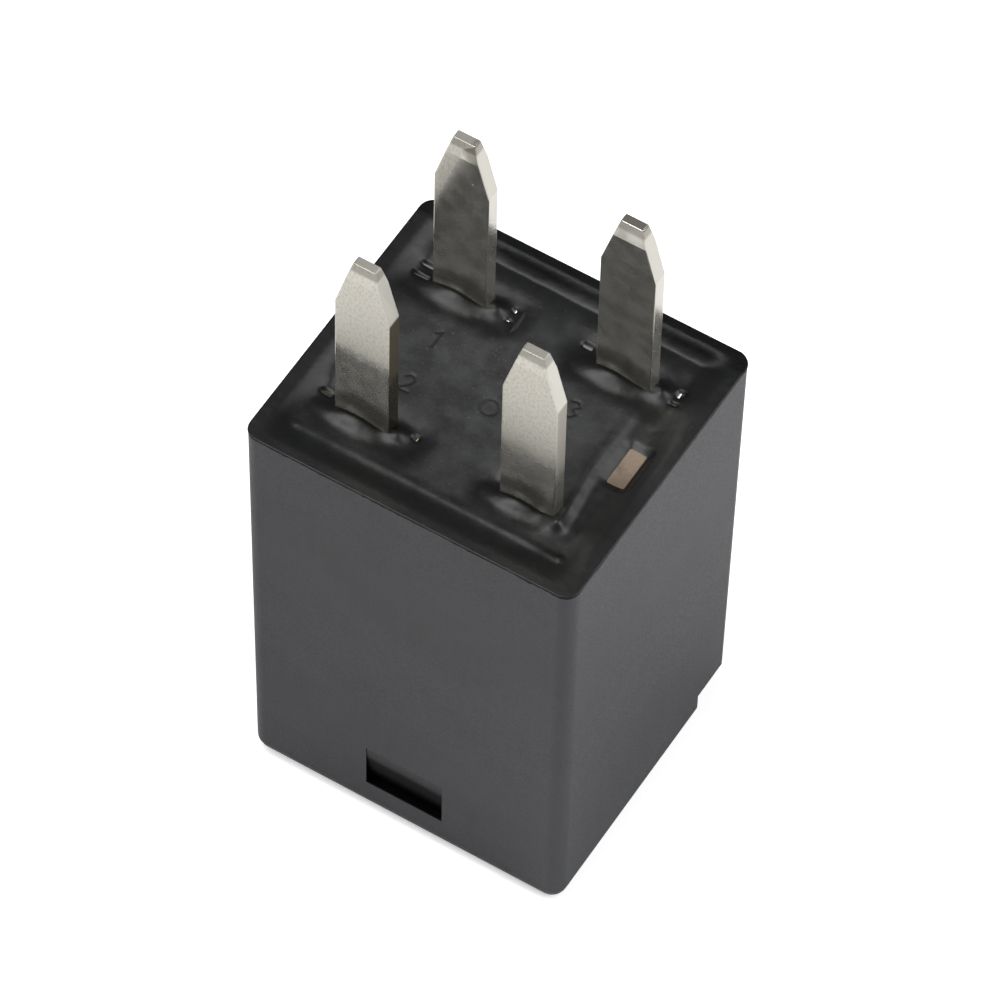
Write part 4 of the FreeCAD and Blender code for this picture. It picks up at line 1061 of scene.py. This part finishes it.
@dataclass
class Studio:
    """A white table, soft boxes and the camera that took the picture.

    The camera's angles are degrees, and its distance and shifts are millimetres. The table's
    side, the radii between which its glow rises and the camera's clips are metres.
    """

    azimuth: float = 30.355
    elevation: float = 54.89
    roll: float = 1.624
    distance: float = 360.0
    focal_pixels: float = 8226.0
    shift_right: float = 0.057
    shift_up: float = -4.573
    rim: float = 24.9
    sensor: float = 36.0
    clips: tuple[float, float] = (0.01, 10.0)
    table: float = 3.0
    table_colour: str = "#e6e6e6"
    glow: tuple[float, float] = (0.5, 1.0)
    glow_radii: tuple[float, float] = (0.03, 0.15)
    room_fill: float = 0.18
    lights: tuple[SoftLight, ...] = (
        SoftLight("top_box", -65, 70, 0.5, 0.3, 1.8),
        SoftLight("right_box", 112, 42, 0.6, 0.5, 3.2),
        SoftLight("left_box", -70, 35, 0.7, 0.45, 0.8),
    )

    def build(self) -> None:
        """Sets up the whole studio."""
        scene = bpy.context.scene
        scene.view_settings.view_transform = "Standard"
        self.lay_table()
        self.fill_room()
        target = Vector((0, 0, self.rim / 2)) * MM
        for light in self.lights:
            light.place(target)
        self.stand_camera()

    def lay_table(self) -> None:
        """Lays the white table, which looks white to the camera and keeps the soft shadow."""
        mesh = bmesh.new()
        bmesh.ops.create_grid(mesh, x_segments=1, y_segments=1, size=self.table / 2)
        data = bpy.data.meshes.new("table")
        mesh.to_mesh(data)
        mesh.free()
        top = bpy.data.objects.new("table", data)
        bpy.context.scene.collection.objects.link(top)
        material = bpy.data.materials.new("white table")
        material.use_nodes = True
        tree = material.node_tree
        tree.nodes.clear()
        matt = add(tree, "BsdfDiffuse", {"Color": colour(self.table_colour)}).outputs[0]
        seen = add(tree, "LightPath").outputs["Is Camera Ray"]
        away = add(tree, "VectorMath", {0: add(tree, "TexCoord").outputs["Object"]}, operation="LENGTH")
        reach = {
            "Value": away.outputs["Value"],
            "From Min": self.glow_radii[0],
            "From Max": self.glow_radii[1],
            "To Min": self.glow[0],
            "To Max": self.glow[1],
        }
        white = add(tree, "MapRange", reach).outputs[0]
        strength = add(tree, "Math", {0: seen, 1: white}, operation="MULTIPLY").outputs[0]
        glow = add(tree, "Emission", {"Strength": strength}).outputs[0]
        both = add(tree, "AddShader", {0: matt, 1: glow}).outputs[0]
        add(tree, "OutputMaterial", {"Surface": both})
        data.materials.append(material)

    def fill_room(self) -> None:
        """Makes the room white to the camera and a plain grey fill on the object."""
        world = bpy.data.worlds.new("white room")
        bpy.context.scene.world = world
        world.use_nodes = True
        tree = world.node_tree
        tree.nodes.clear()
        path = add(tree, "LightPath")
        shares = {0: path.outputs["Is Camera Ray"], 1: 1 - self.room_fill, 2: self.room_fill}
        strength = add(tree, "Math", shares, operation="MULTIPLY_ADD").outputs[0]
        sky = add(tree, "Background", {"Color": (1, 1, 1, 1), "Strength": strength}).outputs[0]
        add(tree, "OutputWorld", {"Surface": sky})

    def stand_camera(self) -> None:
        """Stands the camera where the picture was taken from."""
        around = math.radians(self.azimuth)
        back = direction(self.azimuth, self.elevation)
        level = Vector((math.cos(around), math.sin(around), 0))
        upright = back.cross(level)
        turn = math.radians(self.roll)
        right = level * math.cos(turn) + upright * math.sin(turn)
        above = upright * math.cos(turn) - level * math.sin(turn)
        aside = right * self.shift_right + above * self.shift_up
        place = Vector((0, 0, self.rim)) + aside + back * self.distance
        camera = bpy.data.cameras.new("camera")
        camera.sensor_fit = "HORIZONTAL"
        camera.sensor_width = self.sensor
        camera.lens = self.focal_pixels * self.sensor / PHOTO_PIXELS
        camera.clip_start, camera.clip_end = self.clips
        stand = bpy.data.objects.new("camera", camera)
        facing = Matrix((right, above, back)).transposed().to_4x4()
        stand.matrix_world = Matrix.Translation(place * MM) @ facing
        bpy.context.scene.collection.objects.link(stand)
        bpy.context.scene.camera = stand


def corners(box: Iterable[Iterable[float]]) -> list[list[float]]:
    """Writes a box's two corners as plain lists."""
    return [[float(number) for number in corner] for corner in box]


def main() -> None:
    """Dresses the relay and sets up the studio."""
    logging.basicConfig(level=logging.INFO)
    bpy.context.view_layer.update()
    Studio().build()
    dress(DRESSED)
    eased = EasedEdges()
    for node in BLANKED:
        eased.on(node)
    PottedTop().build()
    CoilTurns().build()
    BowedSpring().build()


if __name__ == "__main__":
    main()
